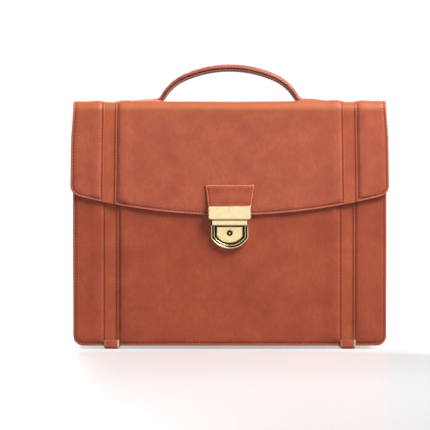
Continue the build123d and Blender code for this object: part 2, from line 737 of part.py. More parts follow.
PATCH_L, PATCH_W, PATCH_T, PATCH_CORNER_R = 264.0, 40.0, 1.5, 6.0
patch_top_z = HEIGHT - WALL
patch_low_z = patch_top_z - PATCH_T
with BuildPart() as handle_patch:  # sewn leather patch that spreads the handle's load
    with BuildSketch(Plane.XY.offset(patch_low_z)):
        with Locations((0, TOP_MID_Y)):
            RectangleRounded(PATCH_L, PATCH_W, PATCH_CORNER_R)
        with Locations(*slit_places):
            RectangleRounded(
                2 * SLIT_HALF_X, 2 * SLIT_HALF_Y, SLIT_CORNER_R, mode=Mode.SUBTRACT
            )
    extrude(amount=PATCH_T)
finish(handle_patch.part, "handle_patch")

ANCHOR_X = 106.0
ANCHOR_L, ANCHOR_W, ANCHOR_T, ANCHOR_CORNER_R = 30.0, 20.0, 3.0, 3.0
ANCHOR_RIVET_R, ANCHOR_RIVET_FIT = 2.0, 0.05
ANCHOR_HEAD_R, ANCHOR_HEAD_T = 4.2, 1.2
anchor_low_z = patch_low_z - ANCHOR_T
for side_name, side in SIDES:
    with BuildPart() as handle_anchor:  # sewn-down end of the handle strap
        with BuildSketch(Plane.XY.offset(anchor_low_z)):
            with Locations((side * ANCHOR_X, TOP_MID_Y)):
                RectangleRounded(ANCHOR_L, ANCHOR_W, ANCHOR_CORNER_R)
                Circle(ANCHOR_RIVET_R + ANCHOR_RIVET_FIT, mode=Mode.SUBTRACT)
        extrude(amount=ANCHOR_T)
    finish(handle_anchor.part, f"handle_anchor_{side_name}")

with BuildPart() as anchor_rivets:
    for side in (-1, 1):
        with BuildSketch(Plane.XY.offset(anchor_low_z)):
            with Locations((side * ANCHOR_X, TOP_MID_Y)):
                Circle(ANCHOR_RIVET_R)
        extrude(amount=ANCHOR_T)
        with BuildSketch(Plane.XY.offset(anchor_low_z - ANCHOR_HEAD_T)):
            with Locations((side * ANCHOR_X, TOP_MID_Y)):
                Circle(ANCHOR_HEAD_R)
        extrude(amount=ANCHOR_HEAD_T)
finish(anchor_rivets.part, "anchor_rivets")

# =====================================================================================
# Flap, hanging part
# =====================================================================================
flap_faces = {0: FLAP_Y, SKIN - STRIP_T: FLAP_Y + SKIN - STRIP_T, SKIN: FLAP_Y + SKIN}


def hanging_layer(depth_out, depth_in, x_low, x_high):
    """Adds one layer of the hanging flap: half of the fold, then the flat leather."""
    with BuildSketch(Plane.YZ.offset(x_low)) as fold:
        with BuildLine():
            front_fold_section(depth_out, depth_in)
        make_face()
    extrude(fold.sketch, amount=x_high - x_low)
    low_z = FLAP_LOW_Z - SKIN  # a little below the curve, which trims the layer
    with BuildSketch(Plane.XZ.offset(-flap_faces[depth_out])) as flat:
        with BuildLine():
            Polyline(
                (x_low, FOLD_Z),
                (x_high, FOLD_Z),
                (flared(x_high, low_z), low_z),
                (flared(x_low, low_z), low_z),
                close=True,
            )
        make_face()
        add(flap_outline.sketch, mode=Mode.INTERSECT)
    extrude(flat.sketch, amount=-(depth_in - depth_out))


with BuildPart() as flap_lining:
    hanging_layer(SKIN, WALL, -FLAP_HALF_TOP, FLAP_HALF_TOP)
    with BuildSketch(Plane.XZ.offset(-flap_faces[SKIN])):
        add(flap_outline.sketch)
    extrude(amount=-LINING)
finish(flap_lining.part, "flap_lining")

flap_strips = {}
for side_name, side in SIDES:
    with BuildPart() as flap_strip:
        near, far = side * (FLAP_STRIP_IN - TUCK), side * (FLAP_STRIP_OUT + TUCK)
        hanging_layer(SKIN - STRIP_T, SKIN, min(near, far), max(near, far))
    flap_strips[side_name] = flap_strip.part
    finish(flap_strip.part, f"flap_strip_{side_name}")

FLAP_EDGE_BAND_X = 170.0  # outside this, the side panels follow the flap's own edge
with BuildPart() as flap_centre_panel:
    hanging_layer(0, SKIN, -FLAP_STRIP_IN, FLAP_STRIP_IN)
    for strip in flap_strips.values():
        add(strip, mode=Mode.SUBTRACT)
finish(flap_centre_panel.part, "flap_centre_panel")

for side_name, side in SIDES:
    with BuildPart() as flap_side_panel:
        near, far = side * FLAP_STRIP_OUT, side * FLAP_HALF_TOP
        hanging_layer(0, SKIN, min(near, far), max(near, far))
        with BuildSketch(Plane.XZ.offset(-FLAP_Y)):  # out to the flap's own edge
            add(flap_outline.sketch)
            with Locations((side * FLAP_EDGE_BAND_X, 0)):
                Rectangle(
                    HALF_W,
                    2 * FOLD_Z,
                    align=(Align.MIN if side > 0 else Align.MAX, Align.CENTER),
                    mode=Mode.INTERSECT,
                )
        extrude(amount=-SKIN)
        add(flap_strips[side_name], mode=Mode.SUBTRACT)
    finish(flap_side_panel.part, f"flap_side_panel_{side_name}")

# ---- hasp: sewn leather tab, brass plate, tongue with its hook, and two rivets --------
tab_back_y = FLAP_Y - TAB_STAND
tab_front_y = tab_back_y - TAB_T
TAB_BEND_HIGH, TAB_BEND_LOW, TAB_LOW_Z = 192.5, 177.4, 159.3
RIVET_X, RIVET_Z = 15.0, 167.4
RIVET_R, RIVET_FIT = 1.5, 0.05
RIVET_BITE = 1.5  # how far a rivet goes into the hasp plate
RIVET_HEAD_R, RIVET_HEAD_T = 2.8, 0.5
TAB_END_IN = 2.0  # the tab's hidden end is narrower than the plate
THROUGH = 20.0  # more than any thickness that it cuts
rivet_places = [(-RIVET_X, RIVET_Z), (RIVET_X, RIVET_Z)]

with BuildPart() as hasp_tab:
    with BuildSketch(Plane.YZ.offset(-TAB_HALF_TOP)):
        with BuildLine():
            Polyline(
                (FLAP_Y, TAB_TOP_Z),
                (FLAP_Y, TAB_BEND_HIGH),
                (tab_back_y, TAB_BEND_LOW),
                (tab_back_y, TAB_LOW_Z),
                (tab_front_y, TAB_LOW_Z),
                (tab_front_y, TAB_BEND_LOW),
                (FLAP_Y - TAB_T, TAB_BEND_HIGH),
                (FLAP_Y - TAB_T, TAB_TOP_Z),
                close=True,
            )
        make_face()
    extrude(amount=2 * TAB_HALF_TOP)
    with BuildSketch(Plane.XZ.offset(-FLAP_Y)):
        with BuildLine():
            Polyline(
                (-TAB_HALF_TOP, TAB_TOP_Z),
                (TAB_HALF_TOP, TAB_TOP_Z),
                (TAB_HALF_LOW, HASP_HIGH),
                (HASP_HALF - TAB_END_IN, TAB_LOW_Z),
                (-HASP_HALF + TAB_END_IN, TAB_LOW_Z),
                (-TAB_HALF_LOW, HASP_HIGH),
                close=True,
            )
        make_face()
    extrude(amount=THROUGH, mode=Mode.INTERSECT)
    with BuildSketch(Plane.XZ.offset(-FLAP_Y)):
        with Locations(*rivet_places):
            Circle(RIVET_R + RIVET_FIT)
    extrude(amount=THROUGH, mode=Mode.SUBTRACT)
finish(hasp_tab.part, "hasp_tab")

HASP_T = 4.0
HASP_LOW_R, HASP_HIGH_R, HASP_BEVEL = 3.6, 1.2, 0.9
with BuildPart() as hasp_plate:
    with BuildSketch(Plane.XZ.offset(-tab_front_y)):
        with Locations((0, (HASP_LOW + HASP_HIGH) / 2)):
            Rectangle(2 * HASP_HALF, HASP_HIGH - HASP_LOW)
    extrude(amount=HASP_T)
    fillet(hasp_plate.edges().filter_by(Axis.Y).group_by(Axis.Z)[0], HASP_LOW_R)
    fillet(hasp_plate.edges().filter_by(Axis.Y).group_by(Axis.Z)[-1], HASP_HIGH_R)
    chamfer(hasp_plate.faces().sort_by(Axis.Y)[0].edges(), HASP_BEVEL)
    with BuildSketch(Plane.XZ.offset(-tab_front_y)):
        with Locations(*rivet_places):
            Circle(RIVET_R + RIVET_FIT)
    extrude(amount=RIVET_BITE + RIVET_FIT, mode=Mode.SUBTRACT)
finish(hasp_plate.part, "hasp_plate")

tongue_face_y = tab_back_y  # front of the plate behind the tab
TONGUE_T = 2.2
TONGUE_TOP_GAP = 1.0
HOOK_HALF, HOOK_LOW, HOOK_HIGH = 9.5, 152.4, 156.6
HOOK_PAST_BOLT = 2.0
NOTCH_HALF, NOTCH_FIT, NOTCH_H = 3.7, 0.7, 3.6
band_face_y = tab_front_y + 0.2
band_back_y = plate_face_y - 0.6
hook_back_y = BOLT_Y + HOOK_PAST_BOLT
with BuildPart() as hasp_tongue:
    with BuildSketch(Plane.XZ.offset(-(tongue_face_y + TONGUE_T))):
        with Locations((0, BAND_LOW)):
            Rectangle(
                2 * BAND_HALF,
                HASP_HIGH - BAND_LOW - TONGUE_TOP_GAP,
                align=(Align.CENTER, Align.MIN),
            )
    extrude(amount=TONGUE_T)
    with BuildSketch(Plane.XZ.offset(-band_back_y)):
        with Locations((0, (BAND_LOW + BAND_HIGH) / 2)):
            Rectangle(2 * BAND_HALF, BAND_HIGH - BAND_LOW)
    extrude(amount=band_back_y - band_face_y)
    with BuildSketch(Plane.XZ.offset(-hook_back_y)):
        with Locations((0, (HOOK_LOW + HOOK_HIGH) / 2)):
            Rectangle(2 * HOOK_HALF, HOOK_HIGH - HOOK_LOW)
    extrude(amount=hook_back_y - band_back_y)
    with BuildSketch(Plane.XY.offset(HOOK_LOW)):  # notch for the bolt, open below
        with Locations((0, BOLT_Y)):
            Rectangle(2 * NOTCH_HALF, BOLT_T + 2 * NOTCH_FIT)
    extrude(amount=NOTCH_H, mode=Mode.SUBTRACT)
    with BuildSketch(Plane.XZ.offset(-(tongue_face_y + TONGUE_T))):
        with Locations(*rivet_places):
            Circle(RIVET_R + RIVET_FIT)
    extrude(amount=TONGUE_T, mode=Mode.SUBTRACT)
finish(hasp_tongue.part, "hasp_tongue")

with BuildPart() as hasp_rivets:
    rivet_back_y = tongue_face_y + TONGUE_T
    for x, z in rivet_places:
        with BuildSketch(Plane.XZ.offset(-rivet_back_y)):
            with Locations((x, z)):
                Circle(RIVET_R)
        extrude(amount=rivet_back_y - tab_front_y + RIVET_BITE)
        with BuildSketch(Plane.XZ.offset(-(rivet_back_y + RIVET_HEAD_T))):
            with Locations((x, z)):
                Circle(RIVET_HEAD_R)
        extrude(amount=RIVET_HEAD_T)
finish(hasp_rivets.part, "hasp_rivets")

# =====================================================================================
# Handle: padded cover and core over a flat strap whose ends go down through the slits
# =====================================================================================


def handle_line(radial_low, radial_high):
    """Closed line, in X and Z, of one layer of the handle's arch."""
    for side in (-1, 1):
        for radial in (radial_low, radial_high):
            CenterArc(
                (0, arc_centre_z),
                HANDLE_ARC_R + radial,
                90 if side < 0 else 90 - HANDLE_ARC_DEG,
                HANDLE_ARC_DEG,
            )
            CenterArc(
                (side * bend_centre[0], bend_centre[1]),
                HANDLE_BEND_R + radial,
                90 + HANDLE_ARC_DEG if side < 0 else bend_end_deg,
                HANDLE_BEND_DEG,
            )
        ends = [
            on_circle(bend_centre, HANDLE_BEND_R + radial, bend_end_deg)
            for radial in (radial_low, radial_high)
        ]
        Line(*[(side * x, z) for x, z in ends])


with BuildPart() as handle_strap:
    with BuildSketch(Plane.XZ.offset(-TOP_MID_Y - HANDLE_W / 2)):
        with BuildLine():
            handle_line(-HANDLE_T / 2, -HANDLE_T / 2 + STRAP_T)
        make_face()
    extrude(amount=HANDLE_W)
    for side in (-1, 1):  # rounded ends, which turn in the slits
        with BuildSketch(Plane.YZ.offset(side * HANDLE_END_X - HANDLE_END_T / 2)):
            with Locations((TOP_MID_Y, tilt_z)):
                Circle(HANDLE_W / 2)
                Rectangle(HANDLE_W, HANDLE_END_UP, align=(Align.CENTER, Align.MIN))
            with Locations((TOP_MID_Y, tilt_z + HANDLE_END_UP)):
                Rectangle(
                    2 * HANDLE_W,
                    HANDLE_W,
                    align=(Align.CENTER, Align.MIN),
                    mode=Mode.SUBTRACT,
                )
        extrude(amount=HANDLE_END_T)
finish(handle_strap.part, "handle_strap")

with BuildPart() as handle_core:
    with BuildSketch(Plane.XZ.offset(-TOP_MID_Y - HANDLE_W / 2 + CORE_IN)):
        with BuildLine():
            handle_line(-HANDLE_T / 2 + STRAP_T, HANDLE_T / 2 - COVER_T)
        make_face()
    extrude(amount=HANDLE_W - 2 * CORE_IN)
    add(handle_strap.part, mode=Mode.SUBTRACT)
finish(handle_core.part, "handle_core")

with BuildPart() as handle_cover:
    with BuildSketch(Plane.XZ.offset(-TOP_MID_Y - HANDLE_W / 2)):
        with BuildLine():
            handle_line(-HANDLE_T / 2 + STRAP_T, HANDLE_T / 2)
        make_face()
    extrude(amount=HANDLE_W)
    for edge_index in (0, -1):
        top_face = handle_cover.faces().sort_by(Axis.Z)[-1]
        fillet(top_face.edges().sort_by(Axis.Y)[edge_index], COVER_EDGE_R)
    add(handle_core.part, mode=Mode.SUBTRACT)
    add(handle_strap.part, mode=Mode.SUBTRACT)
finish(handle_cover.part, "handle_cover")

# ---- facts that the record states ----------------------------------------------------
fold_reach = FOLD_R * sin(pi / 4)
print("back fold axis", BACK_FOLD_Y + fold_reach, FOLD_Z + fold_reach)
print("front fold axis", FRONT_FOLD_Y - fold_reach, FOLD_Z + fold_reach)
print("handle axis", TOP_MID_Y, tilt_z)
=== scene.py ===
# %% [markdown]
# # A flap-over leather briefcase
# The case is a box of leather panels with a flap that comes over the top and hangs down
# the front. It is closed by a brass press lock and carried by an arched leather handle.
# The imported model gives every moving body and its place. This lesson builds what is seen
# around those bodies: leather cut flat and then folded, thread, brass, lining and light.

import math

import bmesh
import bpy
from mathutils import Matrix, Vector, noise


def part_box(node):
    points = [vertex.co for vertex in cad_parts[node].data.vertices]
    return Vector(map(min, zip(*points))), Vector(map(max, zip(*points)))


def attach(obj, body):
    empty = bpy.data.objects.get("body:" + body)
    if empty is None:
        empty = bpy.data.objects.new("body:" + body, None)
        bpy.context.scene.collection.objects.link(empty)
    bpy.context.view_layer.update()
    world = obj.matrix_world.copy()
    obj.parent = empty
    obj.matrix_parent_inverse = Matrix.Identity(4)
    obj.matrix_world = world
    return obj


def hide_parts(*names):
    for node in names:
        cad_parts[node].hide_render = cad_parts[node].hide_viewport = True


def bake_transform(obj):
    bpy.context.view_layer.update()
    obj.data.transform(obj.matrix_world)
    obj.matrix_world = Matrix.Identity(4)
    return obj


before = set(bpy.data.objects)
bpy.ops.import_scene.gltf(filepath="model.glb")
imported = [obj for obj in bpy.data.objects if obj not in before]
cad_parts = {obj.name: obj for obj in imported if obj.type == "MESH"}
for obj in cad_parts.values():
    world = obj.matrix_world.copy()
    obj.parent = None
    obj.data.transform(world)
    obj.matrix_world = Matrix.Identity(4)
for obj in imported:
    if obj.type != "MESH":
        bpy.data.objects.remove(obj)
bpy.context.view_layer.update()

# %% [markdown]
# ## Sizes
# Leatherwork is measured in millimetres and Blender in metres, so sizes are written in
# millimetres and a mesh is scaled once, when it is finished. Places come from the boxes
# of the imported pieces, so that new pieces meet the old ones.

# %% Read the places of the main faces
MM = 0.001


def millimetres(node):
    """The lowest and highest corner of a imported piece, in millimetres."""
    low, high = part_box(node)
    return low / MM, high / MM


FRONT_Y = millimetres("front_centre_panel")[0].y
FRONT_TOP = millimetres("front_centre_panel")[1].z
BACK_Y = millimetres("back_centre_panel")[1].y
FLAP_Y = millimetres("flap_centre_panel")[0].y
TOP_Z = millimetres("flap_top_centre")[1].z
FOOT_Z = millimetres("front_centre_panel")[0].z
HALF_W = millimetres("front_side_panel_right")[1].x
FOLD_R = 13.0
FOLD_Z = TOP_Z - FOLD_R
FOLD_LENGTH = FOLD_R * math.pi / 2
TOP_MID_Y = (FLAP_Y + BACK_Y) / 2
TOP_FLAT = (BACK_Y - FLAP_Y) / 2 - FOLD_R
HANGING_START = TOP_FLAT + FOLD_LENGTH
print("top", TOP_Z, "front", FRONT_Y, "back", BACK_Y, "flap", FLAP_Y)

# %% [markdown]
# ## Helpers for meshes
# A bmesh is shaped in millimetres. When it is done, its doubles are merged, its faces
# are turned outwards, and it becomes an object whose own place is the origin.


# %% Turn a bmesh into a finished object
def in_scene(name, data):
    item = bpy.data.objects.new(name, data)
    bpy.context.scene.collection.objects.link(item)
    return item


def finished(name, bm, materials, sharp_deg=40, merge=0.001):
    """Makes an object from a bmesh in millimetres, with smooth faces and sharp corners."""
    if merge:
        bmesh.ops.remove_doubles(bm, verts=bm.verts[:], dist=merge)
    bmesh.ops.recalc_face_normals(bm, faces=bm.faces[:])
    bmesh.ops.scale(bm, vec=(MM, MM, MM), verts=bm.verts[:])
    mesh = bpy.data.meshes.new(name)
    bm.to_mesh(mesh)
    bm.free()
    for face in mesh.polygons:
        face.use_smooth = True
    mesh.set_sharp_from_angle(angle=math.radians(sharp_deg))
    for material in materials:
        mesh.materials.append(material)
    print(name, len(mesh.polygons), "faces")
    return in_scene(name, mesh)


# %% Bevel, cut, inset, draw along and turn
def bevelled(bm, geom, offset, segments, affect="EDGES"):
    bmesh.ops.bevel(
        bm,
        geom=geom,
        offset=offset,
        offset_type="OFFSET",
        segments=segments,
        profile=0.5,
        material=-1,
        affect=affect,
    )


def rounded_corners(bm, corners):
    """Rounds the vertices nearest to (x, y, radius) on a flat outline."""
    for x, y, radius in corners:
        nearest = min(bm.verts, key=lambda v: (v.co.xy - Vector((x, y))).length)
        bevelled(bm, [nearest], radius, 7, "VERTICES")


def slice_at(bm, point, normal, dist=0.01, clear=False):
    """Cuts every face along a plane; clear drops what lies beyond it."""
    bmesh.ops.bisect_plane(
        bm,
        geom=bm.verts[:] + bm.edges[:] + bm.faces[:],
        dist=dist,
        plane_co=point,
        plane_no=normal,
        clear_outer=clear,
    )


def inset_ring(bm, face, width):
    """Insets one face evenly; the face itself stays in the middle."""
    bmesh.ops.inset_region(
        bm,
        faces=[face],
        thickness=width,
        depth=0.0,
        use_boundary=True,
        use_even_offset=True,
    )


def draw_along(bm, geom, axis, moves):
    """Draws a section through (step, angle, steps, centre) moves, one after another."""
    for step, angle, steps, centre in moves:
        geom = bmesh.ops.spin(
            bm,
            geom=geom,
            cent=centre,
            axis=axis,
            dvec=step,
            angle=angle,
            steps=steps,
            use_merge=False,
            use_duplicate=False,
        )["geom_last"]


def stand_up(bm):
    """Turns a flat shape so that it faces the front."""
    turn = Matrix.Rotation(math.pi / 2, 3, "X")
    bmesh.ops.rotate(bm, verts=bm.verts[:], cent=(0, 0, 0), matrix=turn)


def limited(value):
    """Holds a value between 0 and 1."""
    return min(1.0, max(0.0, value))


def smooth_step(value):
    """Rises gently from 0 to 1."""
    share = limited(value)
    return share * share * (3 - 2 * share)


# %% Attach a piece to the body it rides on, and hide the imported pieces it stands for
def stand_for(piece, slot, nodes):
    if nodes:
        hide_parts(*nodes)


def ride_on(piece, body, slot=None, *nodes):
    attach(piece, body)
    stand_for(piece, slot, nodes)


def blend_across(pieces):
    """Bakes each (piece, slot, nodes) row where it stands and hides its imported nodes."""
    for piece, slot, nodes in pieces:
        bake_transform(piece)
        stand_for(piece, slot, nodes)


# %% [markdown]
# ## Materials
# Pull-up leather is dyed through and waxed, so it is clouded in broad patches, pales
# where it is bent or pressed, and is painted dark on its cut edges. Light and shade are
# painted too: a highlight along the creased lip, shade in the stitch channel, and light
# on the fold band and the tab's top edge. The grain, clouds and marks are one node group,
# used by every leather with its own colours. The group puts out a colour, a roughness
# and a height, and the shader stays in the material.


# %% Small helpers for node trees
def set_values(node, **values):
    """Fills a node's sockets, named with _ for each space."""
    for key, value in values.items():
        if isinstance(value, tuple) and node.inputs[key.replace("_", " ")].type == "RGBA":
            value = (*value[:3], 1)
        node.inputs[key.replace("_", " ")].default_value = value


def add_node(tree, kind, **settings):
    """Adds a node; capital names are sockets, small ones are properties."""
    node = tree.nodes.new(kind)
    for key, value in settings.items():
        if not key[0].isupper():
            setattr(node, key, value)
    set_values(node, **{k: v for k, v in settings.items() if k[0].isupper()})
    return node


def join(tree, *pairs):
    for source, target in pairs:
        tree.links.new(source, target)


def new_group(name, colours, numbers):
    """A node group that takes a place, colours and numbers and puts out a surface."""
    group = bpy.data.node_groups.new(name, "ShaderNodeTree")
    group.interface.new_socket("Vector", in_out="INPUT", socket_type="NodeSocketVector")
    for kind, sockets in (("NodeSocketColor", colours), ("NodeSocketFloat", numbers)):
        for label, default in sockets:
            socket = group.interface.new_socket(label, in_out="INPUT", socket_type=kind)
            socket.default_value = default
    for label, kind in (("Color", "Color"), ("Roughness", "Float"), ("Height", "Float")):
        group.interface.new_socket(
            label, in_out="OUTPUT", socket_type=f"NodeSocket{kind}"
        )
    return group, group.nodes.new("NodeGroupInput"), group.nodes.new("NodeGroupOutput")


def close_group(group, end, colour, rough, height):
    for label, source in (("Color", colour), ("Roughness", rough), ("Height", height)):
        join(group, (source, end.inputs[label]))
    print("group", group.name, "of", len(group.nodes), "nodes")


def mix_colour(tree, factor, first, second, blend_type="MIX"):
    """Mixes two colours; each argument is a socket or a plain value."""
    node = tree.nodes.new("ShaderNodeMix")
    node.data_type = "RGBA"
    node.blend_type = blend_type
    node.clamp_factor = True
    for value, index in ((factor, 0), (first, 6), (second, 7)):
        if isinstance(value, bpy.types.NodeSocket):
            tree.links.new(value, node.inputs[index])
        else:
            node.inputs[index].default_value = value
    return node.outputs[2]


def maths(tree, operation, first, second=0.0, third=0.0, clamp=False):
    """One Math node; each argument is a socket or a number."""
    node = tree.nodes.new("ShaderNodeMath")
    node.operation = operation
    node.use_clamp = clamp
    for value, index in ((first, 0), (second, 1), (third, 2)):
        if isinstance(value, bpy.types.NodeSocket):
            tree.links.new(value, node.inputs[index])
        else:
            node.inputs[index].default_value = value
    return node.outputs[0]


def ramp(tree, factor, stops):
    """A grey ramp through (place, value) stops."""
    node = tree.nodes.new("ShaderNodeValToRGB")
    points = node.color_ramp.elements
    for index, (place, value) in enumerate(stops):
        point = points[index] if index < 2 else points.new(place)
        point.position = place
        point.color = (value, value, value, 1)
    tree.links.new(factor, node.inputs[0])
    return node.outputs[0]


def noise_at(tree, vector, scale, detail=3.0, roughness=0.5):
    node = add_node(
        tree, "ShaderNodeTexNoise", Scale=scale, Detail=detail, Roughness=roughness
    )
    tree.links.new(vector, node.inputs["Vector"])
    return node.outputs[0]


# %% The leather group: clouds, pull-up marks, painted highlight and shade, painted edge and pebbled grain
# Places along the ramps are centimetres from the cut edge.
# Crease: the pulled-up lip of the crease, and a painted highlight where that lip catches
# light.
CREASE_AND_HIGHLIGHT_STOPS = [(0.02, 0), (0.06, 0.75), (0.13, 0.6), (0.19, 0.15), (0.22, 0.3), (0.27, 0)]
# Stitch channel: deep colour, painted shade in the channel round the stitches.
STITCH_CHANNEL_SHADE_STOPS = [(0.15, 0), (0.19, 0.2), (0.22, 0), (0.27, 0.1), (0.31, 0.1), (0.4, 0)]
PAINTED_MM = 0.28


def make_leather_group():
    group, start, end = new_group(
        "pull_up_leather",
        [
            ("Skin", (0.5, 0.12, 0.06, 1)),
            ("Deep", (0.3, 0.05, 0.03, 1)),
            ("Pulled", (0.7, 0.25, 0.1, 1)),
            ("Bent And Lit", (0.6, 0.2, 0.05, 1)),
            ("Edge Paint", (0.08, 0.03, 0.025, 1)),
        ],
        [("Edge Distance", 10.0), ("Bend And Light", 0.0), ("Roughness", 0.5)],
    )
    where = start.outputs["Vector"]
    deep, pulled = start.outputs["Deep"], start.outputs["Pulled"]

    def share_of(mask, amount):
        return maths(group, "MULTIPLY", mask, amount)

    clouds = ramp(group, noise_at(group, where, 9.0, 3.0, 0.55), [(0.4, 0), (0.62, 1)])
    blotches = ramp(group, noise_at(group, where, 42.0, 4.0, 0.6), [(0.38, 0), (0.7, 1)])
    fine = noise_at(group, where, 900.0, 2.0, 0.6)
    streaks = add_node(group, "ShaderNodeMapping", Scale=(1.0, 0.45, 1.0))
    join(group, (where, streaks.inputs[0]))
    streaky = noise_at(group, streaks.outputs[0], 240.0, 5.0, 0.75)
    streaky = ramp(group, streaky, [(0.36, 0), (0.66, 1)])
    colour = mix_colour(group, share_of(clouds, 0.9), start.outputs["Skin"], deep)
    colour = mix_colour(group, share_of(blotches, 0.42), colour, pulled)
    colour = mix_colour(group, share_of(streaky, 0.56), colour, deep)
    # The bend mask brings in the bent colour: pull-up colour, and painted light on the
    # folds and the tab's edge.
    bent_and_lit = maths(group, "MULTIPLY", start.outputs["Bend And Light"], 0.95, clamp=True)
    bent_and_lit = share_of(bent_and_lit, maths(group, "MULTIPLY_ADD", blotches, 0.35, 0.75))
    colour = mix_colour(group, bent_and_lit, colour, start.outputs["Bent And Lit"])
    distance = start.outputs["Edge Distance"]
    in_cm = maths(group, "DIVIDE", distance, 10.0, clamp=True)
    # Pulled colour paints the crease and its highlight; deep colour paints shade in the
    # stitch channel.
    for stops, tint in ((CREASE_AND_HIGHLIGHT_STOPS, pulled), (STITCH_CHANNEL_SHADE_STOPS, deep)):
        colour = mix_colour(group, ramp(group, in_cm, stops), colour, tint)
    paint = maths(group, "LESS_THAN", distance, PAINTED_MM)
    colour = mix_colour(group, paint, colour, start.outputs["Edge Paint"])
    pores = add_node(group, "ShaderNodeTexVoronoi", Scale=1150.0)
    wrinkle = add_node(
        group, "ShaderNodeTexVoronoi", feature="DISTANCE_TO_EDGE", Scale=620.0
    )
    join(group, (where, pores.inputs["Vector"]), (where, wrinkle.inputs["Vector"]))
    cells = ramp(group, wrinkle.outputs["Distance"], [(0.0, 0.0), (0.12, 1.0)])
    lines = share_of(maths(group, "SUBTRACT", 1.0, cells), 0.16)
    colour = mix_colour(group, lines, colour, deep)
    height = maths(group, "MULTIPLY", cells, 0.6)
    height = maths(group, "MULTIPLY_ADD", pores.outputs["Distance"], 0.3, height)
    height = maths(group, "MULTIPLY_ADD", fine, 0.35, height)
    height = maths(group, "MULTIPLY_ADD", blotches, 0.5, height)
    rough = maths(group, "MULTIPLY_ADD", fine, 0.14, start.outputs["Roughness"])
    rough = maths(group, "MULTIPLY_ADD", clouds, 0.08, rough)
    rough = maths(group, "SUBTRACT", rough, 0.1)
    rough = maths(group, "MULTIPLY_ADD", paint, -0.1, rough, clamp=True)
    close_group(group, end, colour, rough, height)
    return group


LEATHER_GROUP = make_leather_group()


def new_material(name, viewport):
    """A material with an empty tree, its Principled shader and its output."""
    material = bpy.data.materials.new(name)
    material.use_nodes = True
    material.diffuse_color = (*viewport, 1)
    tree = material.node_tree
    print("material", name)
    return material, tree, tree.nodes["Principled BSDF"]


def bump(tree, height, shader, strength, distance):
    """Feeds a height through a Bump node to a shader."""
    node = add_node(tree, "ShaderNodeBump", Strength=strength, Distance=distance)
    join(tree, (height, node.inputs["Height"]), (node.outputs[0], shader.inputs["Normal"]))


def object_place(tree):
    return tree.nodes.new("ShaderNodeTexCoord").outputs["Object"]


def use_group(tree, shader, surface, where, strength, distance, **values):
    """Places a surface group in a material and joins it to the shader."""
    node = add_node(tree, "ShaderNodeGroup", node_tree=surface)
    set_values(node, **values)
    join(
        tree,
        (where, node.inputs["Vector"]),
        (node.outputs["Color"], shader.inputs["Base Color"]),
        (node.outputs["Roughness"], shader.inputs["Roughness"]),
    )
    bump(tree, node.outputs["Height"], shader, strength, distance)
    return node


def leather(name, skin, deep, pulled, bent_and_lit=None, roughness=0.5, on_cut=True):
    """A leather made of the group, on the cut's own flat map or on the object."""
    material, tree, shader = new_material(name, skin)
    if on_cut:
        where = add_node(tree, "ShaderNodeUVMap", uv_map="cut").outputs[0]
    else:
        where = object_place(tree)
    colours = {"Skin": skin, "Deep": deep, "Pulled": pulled, "Bent And Lit": bent_and_lit or pulled}
    colours["Edge_Paint"] = EDGE_PAINT
    group = use_group(
        tree, shader, LEATHER_GROUP, where, 0.5, 0.0003, Roughness=roughness, **colours
    )
    if on_cut:
        for label, attribute in (("Edge Distance", "edge_mm"), ("Bend And Light", "bend")):
            reader = add_node(tree, "ShaderNodeAttribute", attribute_name=attribute)
            join(tree, (reader.outputs["Fac"], group.inputs[label]))
    set_values(shader, Specular_IOR_Level=0.45)
    return material


# %% The leathers: skin, deep and pulled-up colours
EDGE_PAINT = (0.055, 0.018, 0.016)
# Colour of the flap's fold band: pull-up orange, and painted light from the top light on
# the fold.
FOLD_LIT_ORANGE = (0.42, 0.099, 0.017)
FLAP_LEATHER = leather(
    "flap_leather", (0.51, 0.102, 0.046), (0.38, 0.069, 0.033), (0.69, 0.180, 0.080),
    FOLD_LIT_ORANGE,
)
FLAP_STRIP_LEATHER = leather(
    "flap_strip_leather", (0.57, 0.113, 0.040), (0.43, 0.078, 0.029), (0.68, 0.175, 0.060),
    FOLD_LIT_ORANGE,
)
# The walls' hide is the flap's, made darker and more saturated as painted shade of the
# lower case.
BODY_LEATHER_SHADED = leather(
    "body_leather", (0.43, 0.071, 0.027), (0.32, 0.049, 0.019), (0.61, 0.135, 0.048)
)
# The walls' strips are likewise darker than the flap's strips: painted shade.
STRIP_LEATHER_SHADED = leather(
    "strip_leather", (0.51, 0.095, 0.034), (0.38, 0.064, 0.024), (0.64, 0.15, 0.046)
)
# The tab's pulled colour also paints the highlight on its top edge.
TAB_LEATHER = leather(
    "tab_leather", (0.39, 0.063, 0.019), (0.29, 0.043, 0.014), (0.72, 0.19, 0.060)
)
TRIM_LEATHER = leather(
    "trim_leather", (0.46, 0.092, 0.045), (0.32, 0.060, 0.032), (0.64, 0.16, 0.065),
    on_cut=False,
)
FOOT_LEATHER = leather(
    "foot_leather", (0.55, 0.092, 0.048), (0.42, 0.066, 0.035), (0.66, 0.16, 0.07),
    on_cut=False,
)
GUSSET_LEATHER = leather(
    "gusset_leather", (0.42, 0.088, 0.047), (0.28, 0.05, 0.03), (0.6, 0.16, 0.07),
    on_cut=False,
)
STRAP_LEATHER = leather(
    "strap_leather", (0.44, 0.235, 0.155), (0.30, 0.15, 0.10), (0.55, 0.32, 0.22),
    on_cut=False,
)
# Near-black leather: real edge paint on the handle, and painted shade under the runners and
# in the handle slits.
EDGE_PAINT_AND_SHADE_LEATHER = leather(
    "edge_paint_and_shade", (0.035, 0.014, 0.015), (0.022, 0.010, 0.011), (0.07, 0.03, 0.028),
    roughness=0.38, on_cut=False,
)


